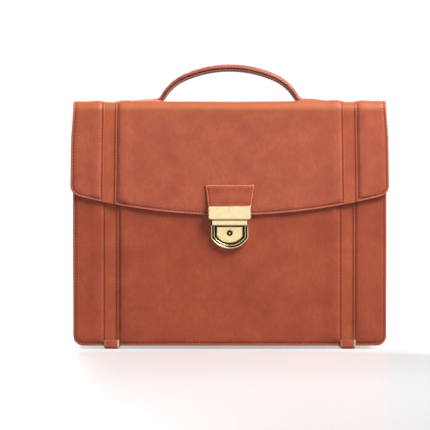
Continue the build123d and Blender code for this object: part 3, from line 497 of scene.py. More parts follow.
# %% [markdown]
# ## Raw edges, suede, twill and thread
# A cut through thick vegetable-tanned leather shows pale fibres in layers. Suede is the
# same hide with the nap up, so it has no grain and a soft sheen. The lining is a cotton
# twill whose diagonal ribs are two sets of waves on the object's coordinates.


# %% Raw edge and suede
def fibre_material(name, pale, dark, scale, roughness, sheen):
    """A matt material of short mixed fibres."""
    material, tree, shader = new_material(name, pale)
    where = object_place(tree)
    fibres = noise_at(tree, where, scale, 4.0, 0.7)
    patches = noise_at(tree, where, scale / 12, 2.0, 0.5)
    share = ramp(tree, fibres, [(0.3, 0), (0.72, 1)])
    colour = mix_colour(tree, share, (*pale, 1), (*dark, 1))
    colour = mix_colour(tree, maths(tree, "MULTIPLY", patches, 0.4), colour, (*dark, 1))
    join(tree, (colour, shader.inputs["Base Color"]))
    bump(tree, fibres, shader, 0.5, 0.0003)
    set_values(shader, Roughness=roughness, Sheen_Weight=sheen)
    return material


RAW_EDGE = fibre_material("raw_edge", (0.58, 0.47, 0.31), (0.38, 0.27, 0.17), 900, 0.8, 0.0)
SUEDE = fibre_material("suede", (0.34, 0.20, 0.13), (0.22, 0.12, 0.08), 700, 0.9, 0.35)
BOARD = fibre_material("board", (0.10, 0.08, 0.06), (0.05, 0.04, 0.03), 600, 0.9, 0.0)


def make_twill(name, light, dark):
    """Cotton twill: fine diagonal ribs crossed by the threads along them."""
    material, tree, shader = new_material(name, light)
    where = object_place(tree)
    waves = []
    for turn, scale in ((0.7, 330.0), (-0.9, 520.0)):
        mapping = add_node(tree, "ShaderNodeMapping", Rotation=(0.0, turn, 0.35))
        wave = add_node(tree, "ShaderNodeTexWave", Scale=scale, Distortion=0.6)
        join(tree, (where, mapping.inputs[0]), (mapping.outputs[0], wave.inputs["Vector"]))
        waves.append(wave.outputs["Fac"])
    weave = maths(tree, "MULTIPLY_ADD", waves[1], 0.45, waves[0])
    share = ramp(tree, weave, [(0.25, 0), (1.1, 1)])
    colour = mix_colour(tree, share, (*dark, 1), (*light, 1))
    join(tree, (colour, shader.inputs["Base Color"]))
    bump(tree, weave, shader, 0.4, 0.0002)
    set_values(shader, Roughness=0.85, Sheen_Weight=0.2)
    return material


TWILL = make_twill("lining_twill", (0.50, 0.35, 0.19), (0.30, 0.19, 0.10))
THREAD = fibre_material("thread", (0.12, 0.024, 0.016), (0.07, 0.015, 0.011), 1800, 0.6, 0)


# %% [markdown]
# ## Brass and steel
# The lock is cast brass, polished and lacquered on its raised parts and fine-blasted on
# the button. Handling leaves hair scratches and cloudy lacquer, which one group gives as
# a wear mask and a height to all the metals.


# %% The metal group and its finishes
def make_metal_group():
    group, start, end = new_group(
        "metal_wear",
        [("Bright", (0.9, 0.7, 0.4, 1)), ("Dull", (0.6, 0.4, 0.2, 1))],
        [("Roughness", 0.2), ("Grit", 0.1)],
    )
    where = start.outputs["Vector"]
    stretched = add_node(
        group, "ShaderNodeMapping", Scale=(1.0, 1.0, 14.0), Rotation=(0.0, 0.4, 0.0)
    )
    join(group, (where, stretched.inputs[0]))
    hairs = noise_at(group, stretched.outputs[0], 300.0, 3.0, 0.7)
    scratches = ramp(group, hairs, [(0.55, 0), (0.8, 1)])
    cloud = noise_at(group, where, 160.0, 3.0, 0.6)
    grit = noise_at(group, where, 2600.0, 2.0, 0.8)
    cloudy = maths(group, "MULTIPLY", cloud, 0.5)
    share = maths(group, "MULTIPLY_ADD", scratches, 0.2, cloudy)
    colour = mix_colour(group, share, start.outputs["Bright"], start.outputs["Dull"])
    rough = maths(group, "MULTIPLY_ADD", cloud, 0.1, start.outputs["Roughness"])
    rough = maths(group, "MULTIPLY_ADD", scratches, 0.12, rough)
    gritty = maths(group, "MULTIPLY", grit, start.outputs["Grit"])
    rough = maths(group, "MULTIPLY_ADD", gritty, 0.3, rough, clamp=True)
    height = maths(group, "MULTIPLY_ADD", scratches, -0.05, gritty)
    close_group(group, end, colour, rough, height)
    return group


METAL_GROUP = make_metal_group()


def metal(name, bright, dull, roughness, grit):
    material, tree, shader = new_material(name, bright)
    values = {"Bright": bright, "Dull": dull, "Roughness": roughness, "Grit": grit}
    use_group(tree, shader, METAL_GROUP, object_place(tree), 0.4, 0.00012, **values)
    set_values(shader, Metallic=1.0)
    return material


BRASS = metal("brass_polished", (0.97, 0.80, 0.48), (0.88, 0.68, 0.38), 0.17, 0.05)
BRASS_SATIN = metal("brass_satin", (1.0, 0.81, 0.44), (0.94, 0.73, 0.38), 0.12, 0.5)
# Near-black metal: painted shade in the lock's grooves, behind its opening and in the
# keyhole.
SHADE_BLACK_METAL = metal("painted_shade_black", (0.045, 0.03, 0.02), (0.02, 0.014, 0.01), 0.5, 0.4)
STEEL = metal("steel", (0.62, 0.62, 0.62), (0.42, 0.42, 0.43), 0.3, 0.3)

# %% [markdown]
# ## Leather cut flat, then folded
# Real panels are cut flat, creased along the edge, stitched and folded over the case.
# The same order works in a mesh. A panel is one flat face, inset in rings for its
# rounded edge, crease and stitch channel, cut into a grid, raised here and there, given
# its underside, and last laid along the wall and over the fold.

# %% Where a point of the flat cut lies on the case
SKIN = 2.0
STRIP_T = 1.0
LINING_T = 1.4


def over_the_top(wall_y, way):
    """Lays (x, down, height) over a fold: way is -1 for the front and 1 for the back."""

    def place(x, down, height):
        if down < TOP_FLAT:
            return Vector((x, TOP_MID_Y + way * down, TOP_Z + height))
        if down < HANGING_START:
            angle = (down - TOP_FLAT) / FOLD_R
            reach = FOLD_R + height
            return Vector(
                (
                    x,
                    wall_y - way * FOLD_R + way * reach * math.sin(angle),
                    FOLD_Z + reach * math.cos(angle),
                )
            )
        return Vector((x, wall_y + way * height, FOLD_Z + HANGING_START - down))

    return place


def on_front_wall(x, down, height):
    return Vector((x, FRONT_Y - height, FRONT_TOP - down))


lay_flap = over_the_top(FLAP_Y, -1)
lay_back = over_the_top(BACK_Y, 1)
print("the hanging part starts at", lay_flap(0.0, HANGING_START, 0.0))


# %% [markdown]
# ## The flat outline
# The straight sides are drawn from corner to corner, and the curved lower edge of the
# flap is one vertex spun about the curve's centre. The rings are then inset from the
# edge inwards: each has a distance from the edge and a height.

# %% Rings of an edge: distance from the cut edge and height of the surface
EDGE_RINGS = [
    (0.0, -1.0),
    (0.2, -0.45),
    (0.5, -0.12),
    (1.0, 0.04),
    (1.7, 0.0),
    (2.3, -0.12),
    (2.7, -0.34),
    (3.0, -0.46),
    (3.35, -0.36),
    (4.0, -0.08),
    (5.6, 0.12),
]
STITCH_RING = 7
NEUTRAL_MM = 5.0
FLAT_GRID = 5.5
FOLD_CUTS = 12
print(len(EDGE_RINGS), "rings, with stitches", EDGE_RINGS[STITCH_RING][0], "mm in")


def flat_outline(corners, arc=None):
    """One flat face through (x, y) corners; arc is (from corner, centre y, steps)."""
    bm = bmesh.new()
    verts = [bm.verts.new((x, y, 0)) for x, y in corners]
    for index, vert in enumerate(verts):
        following = verts[(index + 1) % len(verts)]
        if arc is None or index != arc[0]:
            bm.edges.new((vert, following))
            continue
        centre = Vector((0, arc[1], 0))
        first, last = vert.co - centre, following.co - centre
        angle = math.atan2(first.x * last.y - first.y * last.x, first.dot(last))
        draw_along(bm, [vert], (0, 0, 1), [((0, 0, 0), angle, arc[2], centre)])
    bmesh.ops.remove_doubles(bm, verts=bm.verts[:], dist=0.01)
    bmesh.ops.contextual_create(bm, geom=bm.edges[:])
    return bm


def cut_grid(bm, xs, ys):
    """Cuts every face along lines of constant x and of constant y."""
    for values, normal in ((xs, Vector((1, 0, 0))), (ys, Vector((0, 1, 0)))):
        for value in values:
            slice_at(bm, normal * value, normal, dist=0.02)


def steps_between(low, high, pitch):
    """Evenly spaced values inside a range, about a pitch apart."""
    count = max(1, round((high - low) / pitch))
    return [low + (high - low) * i / count for i in range(1, count)]


def soft_relief(x, down, seed, seams):
    """Slow rise and fall of the hide, and its swell beside each seam, in millimetres."""
    broad = noise.noise(Vector((x / 70, down / 70, seed)))
    small = noise.noise(Vector((x / 24, down / 24, seed + 9.0)))
    swell = 0.0
    for seam in seams:
        share = limited((abs(x - seam) - 3.5) / 17.0)
        swell += 0.85 * math.sin(math.pi * share**0.8) + 0.1 * share
    return 0.34 * broad + 0.1 * small + swell


# %% Cut, ring, grid, thicken and lay one panel
def make_panel(name, bm, place, material, **how):
    """Turns a flat outline into a folded panel and returns it with its stitch line."""
    thickness, raised = how.get("thickness", SKIN), how.get("raised", 0.0)
    rings, seams = how.get("rings", EDGE_RINGS), how.get("skived", [])
    distance_layer = bm.verts.layers.float.new("edge_mm")
    bend_layer = bm.verts.layers.float.new("bend")
    inner = bm.faces[:][0]
    for vert in inner.verts:
        vert.co.z = rings[0][1]
    stitch_loop = []
    for index, (distance, height) in enumerate(rings[1:], 1):
        inset_ring(bm, inner, distance - rings[index - 1][0])
        for vert in inner.verts:
            vert.co.z = height
            vert[distance_layer] = distance
        if index == STITCH_RING:
            stitch_loop = [vert.co.copy() for vert in inner.verts]
    low = Vector((min(v.co.x for v in bm.verts), min(v.co.y for v in bm.verts)))
    high = Vector((max(v.co.x for v in bm.verts), max(v.co.y for v in bm.verts)))
    if how.get("folds", False):
        slice_at(bm, (0, 0, 0), (0, 1, 0), clear=True)
        ys = steps_between(low.y, 0.0, FLAT_GRID)
        ys = [y for y in ys if not TOP_FLAT - 3 < -y < HANGING_START + 3]
        ys += [-(TOP_FLAT + FOLD_LENGTH * i / FOLD_CUTS) for i in range(FOLD_CUTS + 1)]
    else:
        ys = steps_between(low.y, high.y, FLAT_GRID)
    xs = steps_between(low.x, high.x, how.get("grid_x", FLAT_GRID))
    for seam in seams:
        xs += [seam - 6.5, seam - 6.2, seam + 6.2, seam + 6.5]
    cut_grid(bm, [x for x in xs if low.x < x < high.x], ys)
    if "opening" in how:
        left, right, upper_y, lower_y = how["opening"]
        cut_grid(bm, [left, right], [upper_y, lower_y])
        middles = [(face, face.calc_center_median()) for face in bm.faces]
        inside = [
            face for face, at in middles if left < at.x < right and lower_y < at.y < upper_y
        ]
        bmesh.ops.delete(bm, geom=inside, context="FACES")
    flat_faces = bm.faces[:]
    made = bmesh.ops.extrude_face_region(bm, geom=flat_faces)["geom"]
    upper = {item for item in made if isinstance(item, bmesh.types.BMVert)}
    uv_layer = bm.loops.layers.uv.new("cut")
    for face in bm.faces:
        for loop in face.loops:
            loop[uv_layer].uv = loop.vert.co.xy * MM
    for vert in bm.verts:
        x, down = vert.co.x, -vert.co.y
        fade = limited((vert[distance_layer] - 3.0) / 2.6)
        relief = fade * soft_relief(x, down, how["seed"], seams)
        extra = how["relief"](x, down) * fade if "relief" in how else 0.0
        if vert in upper:
            height = raised + vert.co.z + relief + extra
            for seam in seams:
                from_edge = vert[distance_layer]
                if 0.6 < from_edge and abs(x - seam) < from_edge + 2.0:
                    vert[distance_layer] = NEUTRAL_MM
        else:
            near_seam = any(abs(x - seam) < 6.35 for seam in seams)
            height = raised - (STRIP_T + 0.02 if near_seam else thickness) + extra
            vert[distance_layer] = 0.0
        if "bend" in how:
            vert[bend_layer] = how["bend"](x, down)
        vert.co = place(x, down, height)
    panel = finished(name, bm, [material], sharp_deg=50)
    return panel, stitch_loop


# %% [markdown]
# ## Stitches
# A machine stitch is a short bead of thread that sinks at both ends. Each one is a small
# sphere, stretched along the seam and turned a little, so the row looks twisted. A row
# follows the ring that was kept from the panel's flat cut.

# %% Rows of stitches
STITCH_PITCH = 4.1
STITCH_SIZE = (1.2, 0.55, 0.38)
STITCH_TWIST = math.radians(9)
STITCH_HEIGHT = -0.2


def walk(points, pitch):
    """Points and directions at an even pitch round a flat loop."""
    line = [Vector((p[0], p[1])) for p in points]
    line.append(line[0])
    lengths = [(b - a).length for a, b in zip(line, line[1:])]
    total = sum(lengths)
    count = max(1, round(total / pitch))
    spots, piece, passed = [], 0, 0.0
    for index in range(count):
        wanted = (index + 0.5) * total / count
        while piece < len(lengths) - 1 and passed + lengths[piece] < wanted:
            passed += lengths[piece]
            piece += 1
        way = (line[piece + 1] - line[piece]).normalized()
        spots.append((line[piece] + way * (wanted - passed), way))
    return spots


def make_bead():
    """One stitch, lying along X, to be copied into every row."""
    bm = bmesh.new()
    turned = Matrix.Rotation(math.pi / 2, 4, "Y")
    bmesh.ops.create_uvsphere(bm, u_segments=6, v_segments=5, radius=1.0, matrix=turned)
    mesh = bpy.data.meshes.new("bead")
    bm.to_mesh(mesh)
    bm.free()
    return mesh


BEAD = make_bead()
print("stitch", STITCH_SIZE, "every", STITCH_PITCH, "mm")


def add_bead(bm, matrix):
    """Copies the bead into bm, moved and stretched by a matrix."""
    copy = BEAD.copy()
    copy.transform(matrix)
    bm.from_mesh(copy)
    bpy.data.meshes.remove(copy)


def sew(bm, line, place, keep=None):
    """Adds stitches along a flat line; keep says which spots are sewn."""
    for spot, way in walk(line, STITCH_PITCH):
        if keep is not None and not keep(spot.x, -spot.y):
            continue
        here = place(spot.x, -spot.y, STITCH_HEIGHT)
        ahead = place(spot.x + way.x, -(spot.y + way.y), STITCH_HEIGHT)
        above = place(spot.x, -spot.y, STITCH_HEIGHT + 1.0)
        along = (ahead - here).normalized()
        normal = (above - here).normalized()
        across = normal.cross(along).normalized()
        turn = Matrix.Rotation(STITCH_TWIST, 3, normal)
        axes = Matrix(((turn @ along), (turn @ across), normal)).transposed().to_4x4()
        add_bead(bm, Matrix.Translation(here) @ axes @ Matrix.Diagonal((*STITCH_SIZE, 1.0)))


# %% [markdown]
# ## The flap
# The flap is one hide from the middle of the top to its curved lower edge, made of a
# centre panel and two side panels with sunken strips between them. Its layers stay where
# they are made and follow no body.

# %% Outline of the flap in flat coordinates
STRIP_IN, STRIP_OUT = 139.8, 152.4
TUCK = 6.0
FLARE = 0.012
FLAP_LOW_Z = millimetres("flap_lining")[0].z
FLAP_CORNER_Z = 188.5
FLAP_HALF_TOP, FLAP_HALF_MID, FLAP_HALF_LOW = 191.2, 193.6, 194.7
FLAP_BULGE_Z = 258.0
FLAP_CORNER_R = 11.0
rise = FLAP_CORNER_Z - FLAP_LOW_Z
FLAP_ARC_R = (FLAP_HALF_LOW**2 + rise**2) / (2 * rise)
OVERRUN = 12.0  # cut past the middle of the top, then trimmed


def hang(z):
    """Flat y of a height on the hanging part."""
    return -(HANGING_START + FOLD_Z - z)


def arc_z(x):
    """Height of the curved lower edge at x."""
    return FLAP_LOW_Z + FLAP_ARC_R - math.sqrt(FLAP_ARC_R**2 - x * x)


def flared(x):
    """Where a seam that starts at x meets the lower edge, as (x, z)."""
    low_x = x
    for _ in range(6):
        low_z = arc_z(low_x)
        low_x = x * (1 + FLARE * (FOLD_Z - low_z) / (FOLD_Z - FLAP_LOW_Z))
    return low_x, arc_z(low_x)


ARC_CENTRE_Y = hang(FLAP_LOW_Z + FLAP_ARC_R)
print("the flap's lower edge has a radius of", round(FLAP_ARC_R, 1), "mm")


def flap_bend(x, down):
    """Pale pull-up band where the hide turns over the fold, with painted light where the
    top light falls on it.
    """
    return math.exp(-(((down - TOP_FLAT - 0.62 * FOLD_LENGTH) / 9.0) ** 2))


def handle_swell(x, down):
    """The top swells over the strap ends outside the handle and dips between them."""
    swell = 4.2 * math.exp(-(((abs(x) - 99.0) / 20.0) ** 2 + (down / 28.0) ** 2))
    dip = 1.2 * limited((88.0 - abs(x)) / 12.0) * math.exp(-((down / 40.0) ** 4))
    return swell - dip


def flap_relief(x, down):
    sag = 0.5 * math.sin(math.pi * limited((down - 60) / 110))
    return handle_swell(x, down) + sag


def strip_sides(side, inner, outer):
    """Left and right x of a strip with its hidden margins."""
    return sorted((side * (inner - TUCK), side * (outer + TUCK)))


def flap_column(left, right, steps):
    """Flat piece of the flap between two seams, down to its curved lower edge."""
    (left_low, left_z), (right_low, right_z) = flared(left), flared(right)
    corners = [
        (left, OVERRUN),
        (left, -HANGING_START),
        (left_low, hang(left_z)),
        (right_low, hang(right_z)),
        (right, -HANGING_START),
        (right, OVERRUN),
    ]
    return flat_outline(corners, arc=(2, ARC_CENTRE_Y, steps))


def flap_edge(side):
    """Flat corners of the flap's outer edge, from its lower corner to the top."""
    return [
        (side * FLAP_HALF_LOW, hang(FLAP_CORNER_Z)),
        (side * FLAP_HALF_MID, hang(FLAP_BULGE_Z)),
        (side * FLAP_HALF_TOP, -HANGING_START),
        (side * FLAP_HALF_TOP, OVERRUN),
    ]


SIDES = (("left", -1), ("right", 1))
SEAM_RINGS = [(0.0, -0.6), (0.3, -0.2), (0.8, 0.0), (5.0, 0.0)]
STRIP_CUT = {"thickness": STRIP_T, "raised": -STRIP_T, "rings": SEAM_RINGS}
LINING_CUT = {
    "thickness": LINING_T - 0.1,
    "raised": -SKIN - 0.05,
    "rings": [(0.0, 0.0), (0.8, 0.0)],
    "folds": True,
    "grid_x": 2 * FLAT_GRID,
    "seed": 0.0,
    "relief": handle_swell,
}
FLAP_FOLD = {"folds": True, "bend": flap_bend}
flap_pieces = []
flap_stitches = bmesh.new()


def flap_panel(name, bm, nodes, **how):
    """One sewn panel of the flap."""
    panel, loop = make_panel(name, bm, lay_flap, FLAP_LEATHER, **FLAP_FOLD, **how)
    flap_pieces.append((panel, "flap_leather", nodes))
    sew(flap_stitches, loop, lay_flap, lambda x, down: down > 0.8)


# %% Centre panel of the flap
flap_panel(
    "flap_centre",
    flap_column(-STRIP_IN, STRIP_IN, 44),
    ["flap_centre_panel", "flap_top_centre"],
    skived=[-STRIP_IN, STRIP_IN],
    relief=flap_relief,
    seed=2.0,
)

# %% Side panels and strips of the flap
for side_name, side in SIDES:
    seam = side * STRIP_OUT
    low_x, low_z = flared(seam)
    outline = [(seam, OVERRUN), (seam, -HANGING_START), (low_x, hang(low_z))]
    side_bm = flat_outline(outline + flap_edge(side), arc=(2, ARC_CENTRE_Y, 3))
    rounded_corners(side_bm, [(side * FLAP_HALF_LOW, hang(FLAP_CORNER_Z), FLAP_CORNER_R)])
    flap_panel(
        f"flap_side_{side_name}",
        side_bm,
        [f"flap_side_panel_{side_name}", f"flap_top_side_{side_name}"],
        skived=[seam],
        seed=4.0 + side,
    )
    panel, _ = make_panel(
        f"flap_strip_{side_name}_cut",
        flap_column(*strip_sides(side, STRIP_IN, STRIP_OUT), 4),
        lay_flap,
        FLAP_STRIP_LEATHER,
        **STRIP_CUT,
        **FLAP_FOLD,
        seed=7.0 + side,
    )
    nodes = [f"flap_strip_{side_name}", f"flap_top_strip_{side_name}"]
    flap_pieces.append((panel, "strip_leather", nodes))

# %% Lining of the flap
lining_bm = flat_outline(flap_edge(-1)[::-1] + flap_edge(1), arc=(3, ARC_CENTRE_Y, 28))
rounded_corners(
    lining_bm,
    [(s * FLAP_HALF_LOW, hang(FLAP_CORNER_Z), FLAP_CORNER_R) for s in (-1, 1)],
)
panel, _ = make_panel("flap_suede", lining_bm, lay_flap, SUEDE, **LINING_CUT)
flap_pieces.append((panel, "lining_suede", ["flap_lining", "flap_top_lining"]))

# %% Stitches of the flap, and every layer of the flap fixed where it stands
panel = finished("flap_stitching", flap_stitches, [THREAD], merge=0)
flap_pieces.append((panel, None, []))
blend_across(flap_pieces)

# %% [markdown]
# ## The back
# The back wall, the rear fold and the rear half of the top are one hide too, in the same
# five columns. It stays where it is made and follows no body.

# %% Columns of a wall, and the back's own
BACK_LENGTH = HANGING_START + FOLD_Z - FOOT_Z
WALL_STRIP_IN, WALL_STRIP_OUT = 138.3, 150.5
CORNER_R = 12.0


# Pull-up band at the rear fold, with painted light as on the front fold.
def back_bend(x, down):
    return 0.8 * math.exp(-(((down - TOP_FLAT - 0.5 * FOLD_LENGTH) / 10.0) ** 2))


def column(left, right, bottom, top):
    """Flat outline of an upright column of leather."""
    return flat_outline([(left, top), (left, bottom), (right, bottom), (right, top)])


def lay_back_eased(x, down, height):
    """The sides are a little narrower over the top than down the wall."""
    share = smooth_step((down - TOP_FLAT) / (FOLD_LENGTH + 25.0))
    narrow = FLAP_HALF_TOP / HALF_W
    return lay_back(x * (narrow + (1 - narrow) * share), down, height)


def make_wall(wall, place, outline, seed, keep=None, opening=None, **how):
    """Makes the five columns of a wall and its stitches, as (piece, slot, nodes) rows."""
    rows, stitches = [], bmesh.new()
    for name, left, right, seams in (
        ("centre", -WALL_STRIP_IN, WALL_STRIP_IN, [-WALL_STRIP_IN, WALL_STRIP_IN]),
        ("side_left", -HALF_W, -WALL_STRIP_OUT, [-WALL_STRIP_OUT]),
        ("side_right", WALL_STRIP_OUT, HALF_W, [WALL_STRIP_OUT]),
    ):
        bm = column(left, right, **outline)
        own = dict(how)
        if name == "centre":
            node = f"{wall}_centre_panel"
            if opening:
                own["opening"] = opening
        else:
            node = f"{wall}_side_panel_{name[5:]}"
            outer = left if abs(left) > abs(right) else right
            rounded_corners(bm, [(outer, outline["bottom"], CORNER_R)])
        panel, loop = make_panel(
            f"{wall}_{name}",
            bm,
            place,
            BODY_LEATHER_SHADED,
            skived=seams,
            seed=seed + left / 50,
            **own,
        )
        rows.append((panel, "body_leather", [node]))
        sew(stitches, loop, place, keep)
    own = {key: value for key, value in how.items() if key != "relief"}
    for side_name, side in SIDES:
        panel, _ = make_panel(
            f"{wall}_strip_{side_name}_cut",
            column(*strip_sides(side, WALL_STRIP_IN, WALL_STRIP_OUT), **outline),
            place,
            STRIP_LEATHER_SHADED,
            **STRIP_CUT,
            **own,
            seed=seed + 5.0 + side,
        )
        rows.append((panel, "strip_leather", [f"{wall}_strip_{side_name}"]))
    return rows, stitches


back_pieces, back_stitches = make_wall(
    "back",
    lay_back_eased,
    {"bottom": -BACK_LENGTH, "top": OVERRUN},
    12.0,
    keep=lambda x, down: 0.8 < down < BACK_LENGTH - 1.0,
    folds=True,
    bend=back_bend,
    relief=handle_swell,
)

# %% Lining of the back
bm = column(-HALF_W, HALF_W, -BACK_LENGTH, OVERRUN)
rounded_corners(bm, [(s * HALF_W, -BACK_LENGTH, CORNER_R) for s in (-1, 1)])
panel, _ = make_panel("back_lining_cloth", bm, lay_back_eased, TWILL, **LINING_CUT)
back_pieces.append((panel, "lining_cloth", ["back_lining"]))
panel = finished("back_stitching", back_stitches, [THREAD], merge=0)
back_pieces.append((panel, None, []))
blend_across(back_pieces)

# %% [markdown]
# ## The front wall
# The front has the same five columns on a flat wall, with stitches all round. It rides
# on its own body, which leans out when the case is opened wide.

# %% Front panels, strips and stitches
FRONT_LENGTH = FRONT_TOP - FOOT_Z
LOCK_OPENING = (-16.4, 16.4, 156.0 - FRONT_TOP, 128.8 - FRONT_TOP)


def front_relief(x, down):
    """A slight fullness of the wall, greatest in the middle."""
    across = math.cos(math.pi * min(0.5, abs(x) / 380))
    return 0.35 * across * math.sin(math.pi * min(1.0, down / FRONT_LENGTH))


front_pieces, front_stitches = make_wall(
    "front",
    on_front_wall,
    {"bottom": -FRONT_LENGTH, "top": 0.0},
    22.0,
    opening=LOCK_OPENING,
    relief=front_relief,
)
panel = finished("front_stitching", front_stitches, [THREAD], merge=0)
for panel, slot, nodes in [*front_pieces, (panel, None, [])]:
    ride_on(panel, "front", slot, *nodes)

# %% [markdown]
# ## The gusset
# The sides and base are one long strip with a centre pleat, sewn to both walls by
# outward flanges. Its cross-section is spun round the two lower corners and drawn
# straight between them. It stays where it is made and follows no body.

# %% The gusset strip
GUSSET_T = 1.5
FLANGE = 9.0
GUSSET_TOP = millimetres("gusset_left")[1].z
PLEAT = 13.0
WEB_FRONT = millimetres("gusset_left")[0].y
WEB_BACK = millimetres("gusset_left")[1].y
web_x = HALF_W - FLANGE
web_z = FOOT_Z + FLANGE
TURN_R = 5.0


def gusset_section():
    """Cross-section at the top left as (y, out) points: flange, web, pleat, flange."""
    depth = WEB_BACK - WEB_FRONT
    points = [(WEB_FRONT, FLANGE), (WEB_FRONT, 4.5), (WEB_FRONT + 0.25, 1.2)]
    points += [(WEB_FRONT + 1.6, 0.0), (WEB_FRONT + 5, -0.1)]
    for share in (0.12, 0.2, 0.28, 0.36, 0.43, 0.47, 0.5):
        points.append((WEB_FRONT + share * depth, 0.0))
    mirrored = [(WEB_FRONT + WEB_BACK - y, out) for y, out in reversed(points[:-1])]
    return points + mirrored


def make_gusset():
    bm = bmesh.new()
    section = gusset_section()
    verts = [bm.verts.new((-web_x - out, y, GUSSET_TOP)) for y, out in section]
    for first, second in zip(verts, verts[1:]):
        bm.edges.new((first, second))
    geom = verts + bm.edges[:]
    down = GUSSET_TOP - web_z - TURN_R
    across = 2 * (web_x - TURN_R)
    moves = [
        ((0, 0, -down / 40), 0.0, 40, (0, 0, 0)),
        ((0, 0, 0), math.pi / 2, 8, (-web_x + TURN_R, 0, web_z + TURN_R)),
        ((across / 30, 0, 0), 0.0, 30, (0, 0, 0)),
        ((0, 0, 0), math.pi / 2, 8, (web_x - TURN_R, 0, web_z + TURN_R)),
        ((0, 0, down / 40), 0.0, 40, (0, 0, 0)),
    ]
    draw_along(bm, geom, (0, -1, 0), moves)
    depth = WEB_BACK - WEB_FRONT
    for vert in bm.verts:
        share = (vert.co.y - WEB_FRONT) / depth
        fold = max(0.0, 1 - abs(share - 0.5) / 0.38) ** 1.3
        if abs(vert.co.x) > web_x - TURN_R - 1 and vert.co.z > web_z:
            depth_here = PLEAT * min(1.0, (vert.co.z - web_z) / 70) * fold
            wander = noise.noise(Vector((vert.co.y / 30, vert.co.z / 45, 3.0)))
            inward = depth_here + wander * min(1.0, fold * 3)
            vert.co.x -= math.copysign(inward, vert.co.x)
    bmesh.ops.recalc_face_normals(bm, faces=bm.faces[:])
    bmesh.ops.solidify(bm, geom=bm.faces[:], thickness=GUSSET_T)
    return finished("gusset", bm, [GUSSET_LEATHER], sharp_deg=60)


gusset_nodes = ["gusset_left", "gusset_right", "gusset_base"]
blend_across([(make_gusset(), "body_leather", gusset_nodes)])

# %% [markdown]
# ## Foot runners
# Under each strip a thick leather runner is turned up over the front and back edges. Its
# sides are bevelled by hand and left raw, so pale fibres frame the dyed face. Further
# under the case the sides are near-black instead, as painted shade.

# %% Runner with bevelled raw sides
RUNNER_BEVEL = 1.5
RUNNER_T = 3.2
RUNNER_TURN_R = 3.4
RAW_SHOWN = 8.0  # how far the raw sides reach under the case, front and back


def make_runner(side_name):
    low, high = millimetres(f"foot_runner_{side_name}")
    middle, half = (low.x + high.x) / 2, (high.x - low.x) / 2
    right = [
        (half - RUNNER_BEVEL - 0.7, 0.0),
        (half - RUNNER_BEVEL, 0.25),
        (half, RUNNER_BEVEL),
        (half, RUNNER_T),
    ]
    section = [(-x, depth) for x, depth in reversed(right)] + right
    bm = bmesh.new()
    verts = [bm.verts.new((middle + x, low.y + depth, high.z)) for x, depth in section]
    face = bm.faces.new(verts)
    turn_r = RUNNER_TURN_R
    drop, across = high.z - turn_r, high.y - low.y - 2 * turn_r
    moves = [
        ((0, 0, -drop / 4), 0.0, 4, (0, 0, 0)),
        ((0, 0, 0), math.pi / 2, 6, (0, low.y + turn_r, turn_r)),
        ((0, across / 12, 0), 0.0, 12, (0, 0, 0)),
        ((0, 0, 0), math.pi / 2, 6, (0, high.y - turn_r, turn_r)),
        ((0, 0, drop / 4), 0.0, 4, (0, 0, 0)),
    ]
    draw_along(bm, [face, *face.edges, *face.verts], (1, 0, 0), moves)
    for edge in bm.edges:
        if abs(sum(v.co.z for v in edge.verts) / 2 - high.z) < 0.01:
            edge.smooth = False
    for item in bm.faces:
        at = item.calc_center_median()
        aside = abs(at.x - middle) > half - RUNNER_BEVEL - 0.6
        shaded_under = low.y + RAW_SHOWN < at.y < high.y - RAW_SHOWN
        ends = all(abs(v.co.z - high.z) < 0.01 for v in item.verts)
        # Sides far under the case get near-black leather as painted shade.
        item.material_index = 2 if aside and shaded_under else int(aside or ends)
    leathers = [FOOT_LEATHER, RAW_EDGE, EDGE_PAINT_AND_SHADE_LEATHER]
    runner = finished(f"runner_{side_name}", bm, leathers, sharp_deg=35, merge=0.01)
    ride_on(runner, "case", "sole_leather", f"foot_runner_{side_name}")


for side_name, side in SIDES:
    make_runner(side_name)

# %% [markdown]
# ## The handle
# The handle is a flat strap with a padded cover sewn over it. It is shaped straight, as
# on the bench, and then bent to its arch: a wide arc over the hand, a tighter bend at
# each side, and a short flare where it goes under the top.

# %% Path of the arch
HANDLE_T = 8.2
HANDLE_MID_Z = millimetres("handle_cover")[1].z - HANDLE_T / 2
HANDLE_Y = TOP_MID_Y
ARCH = [(138.0, 23.8), (57.4, 36.0), (-14.0, 52.0)]


def along_arch(distance):
    """Point and direction angle of the handle's centreline, from its middle."""
    x, z, slope = 0.0, HANDLE_MID_Z, 0.0
    left = abs(distance)
    for radius, degrees in ARCH:
        length = abs(radius) * math.radians(degrees)
        part = min(left, length)
        turned = part / radius
        centre_x = x - radius * math.sin(slope)
        centre_z = z - radius * math.cos(slope)
        slope += turned
        x = centre_x + radius * math.sin(slope)
        z = centre_z + radius * math.cos(slope)
        left -= part
    x += left * math.cos(slope)
    z -= left * math.sin(slope)
    side = 1 if distance >= 0 else -1
    return side * x, z, side * slope


HALF_ARCH = sum(abs(r) * math.radians(d) for r, d in ARCH)
BAR_STEPS = 96


def bend_to_arch(bm):
    """Moves a straight handle piece (distance, width, height) on to the arch."""
    for vert in bm.verts:
        distance, width, height = vert.co
        share = abs(distance) / HALF_ARCH
        taper = 1.0 - 0.14 * share**2
        thin = 1.0 - 0.22 * max(0.0, share - 0.45) / 0.55
        x, z, slope = along_arch(distance)
        height *= thin
        vert.co = Vector(
            (
                x + height * math.sin(slope),
                HANDLE_Y + width * taper,
                z + height * math.cos(slope),
            )
        )


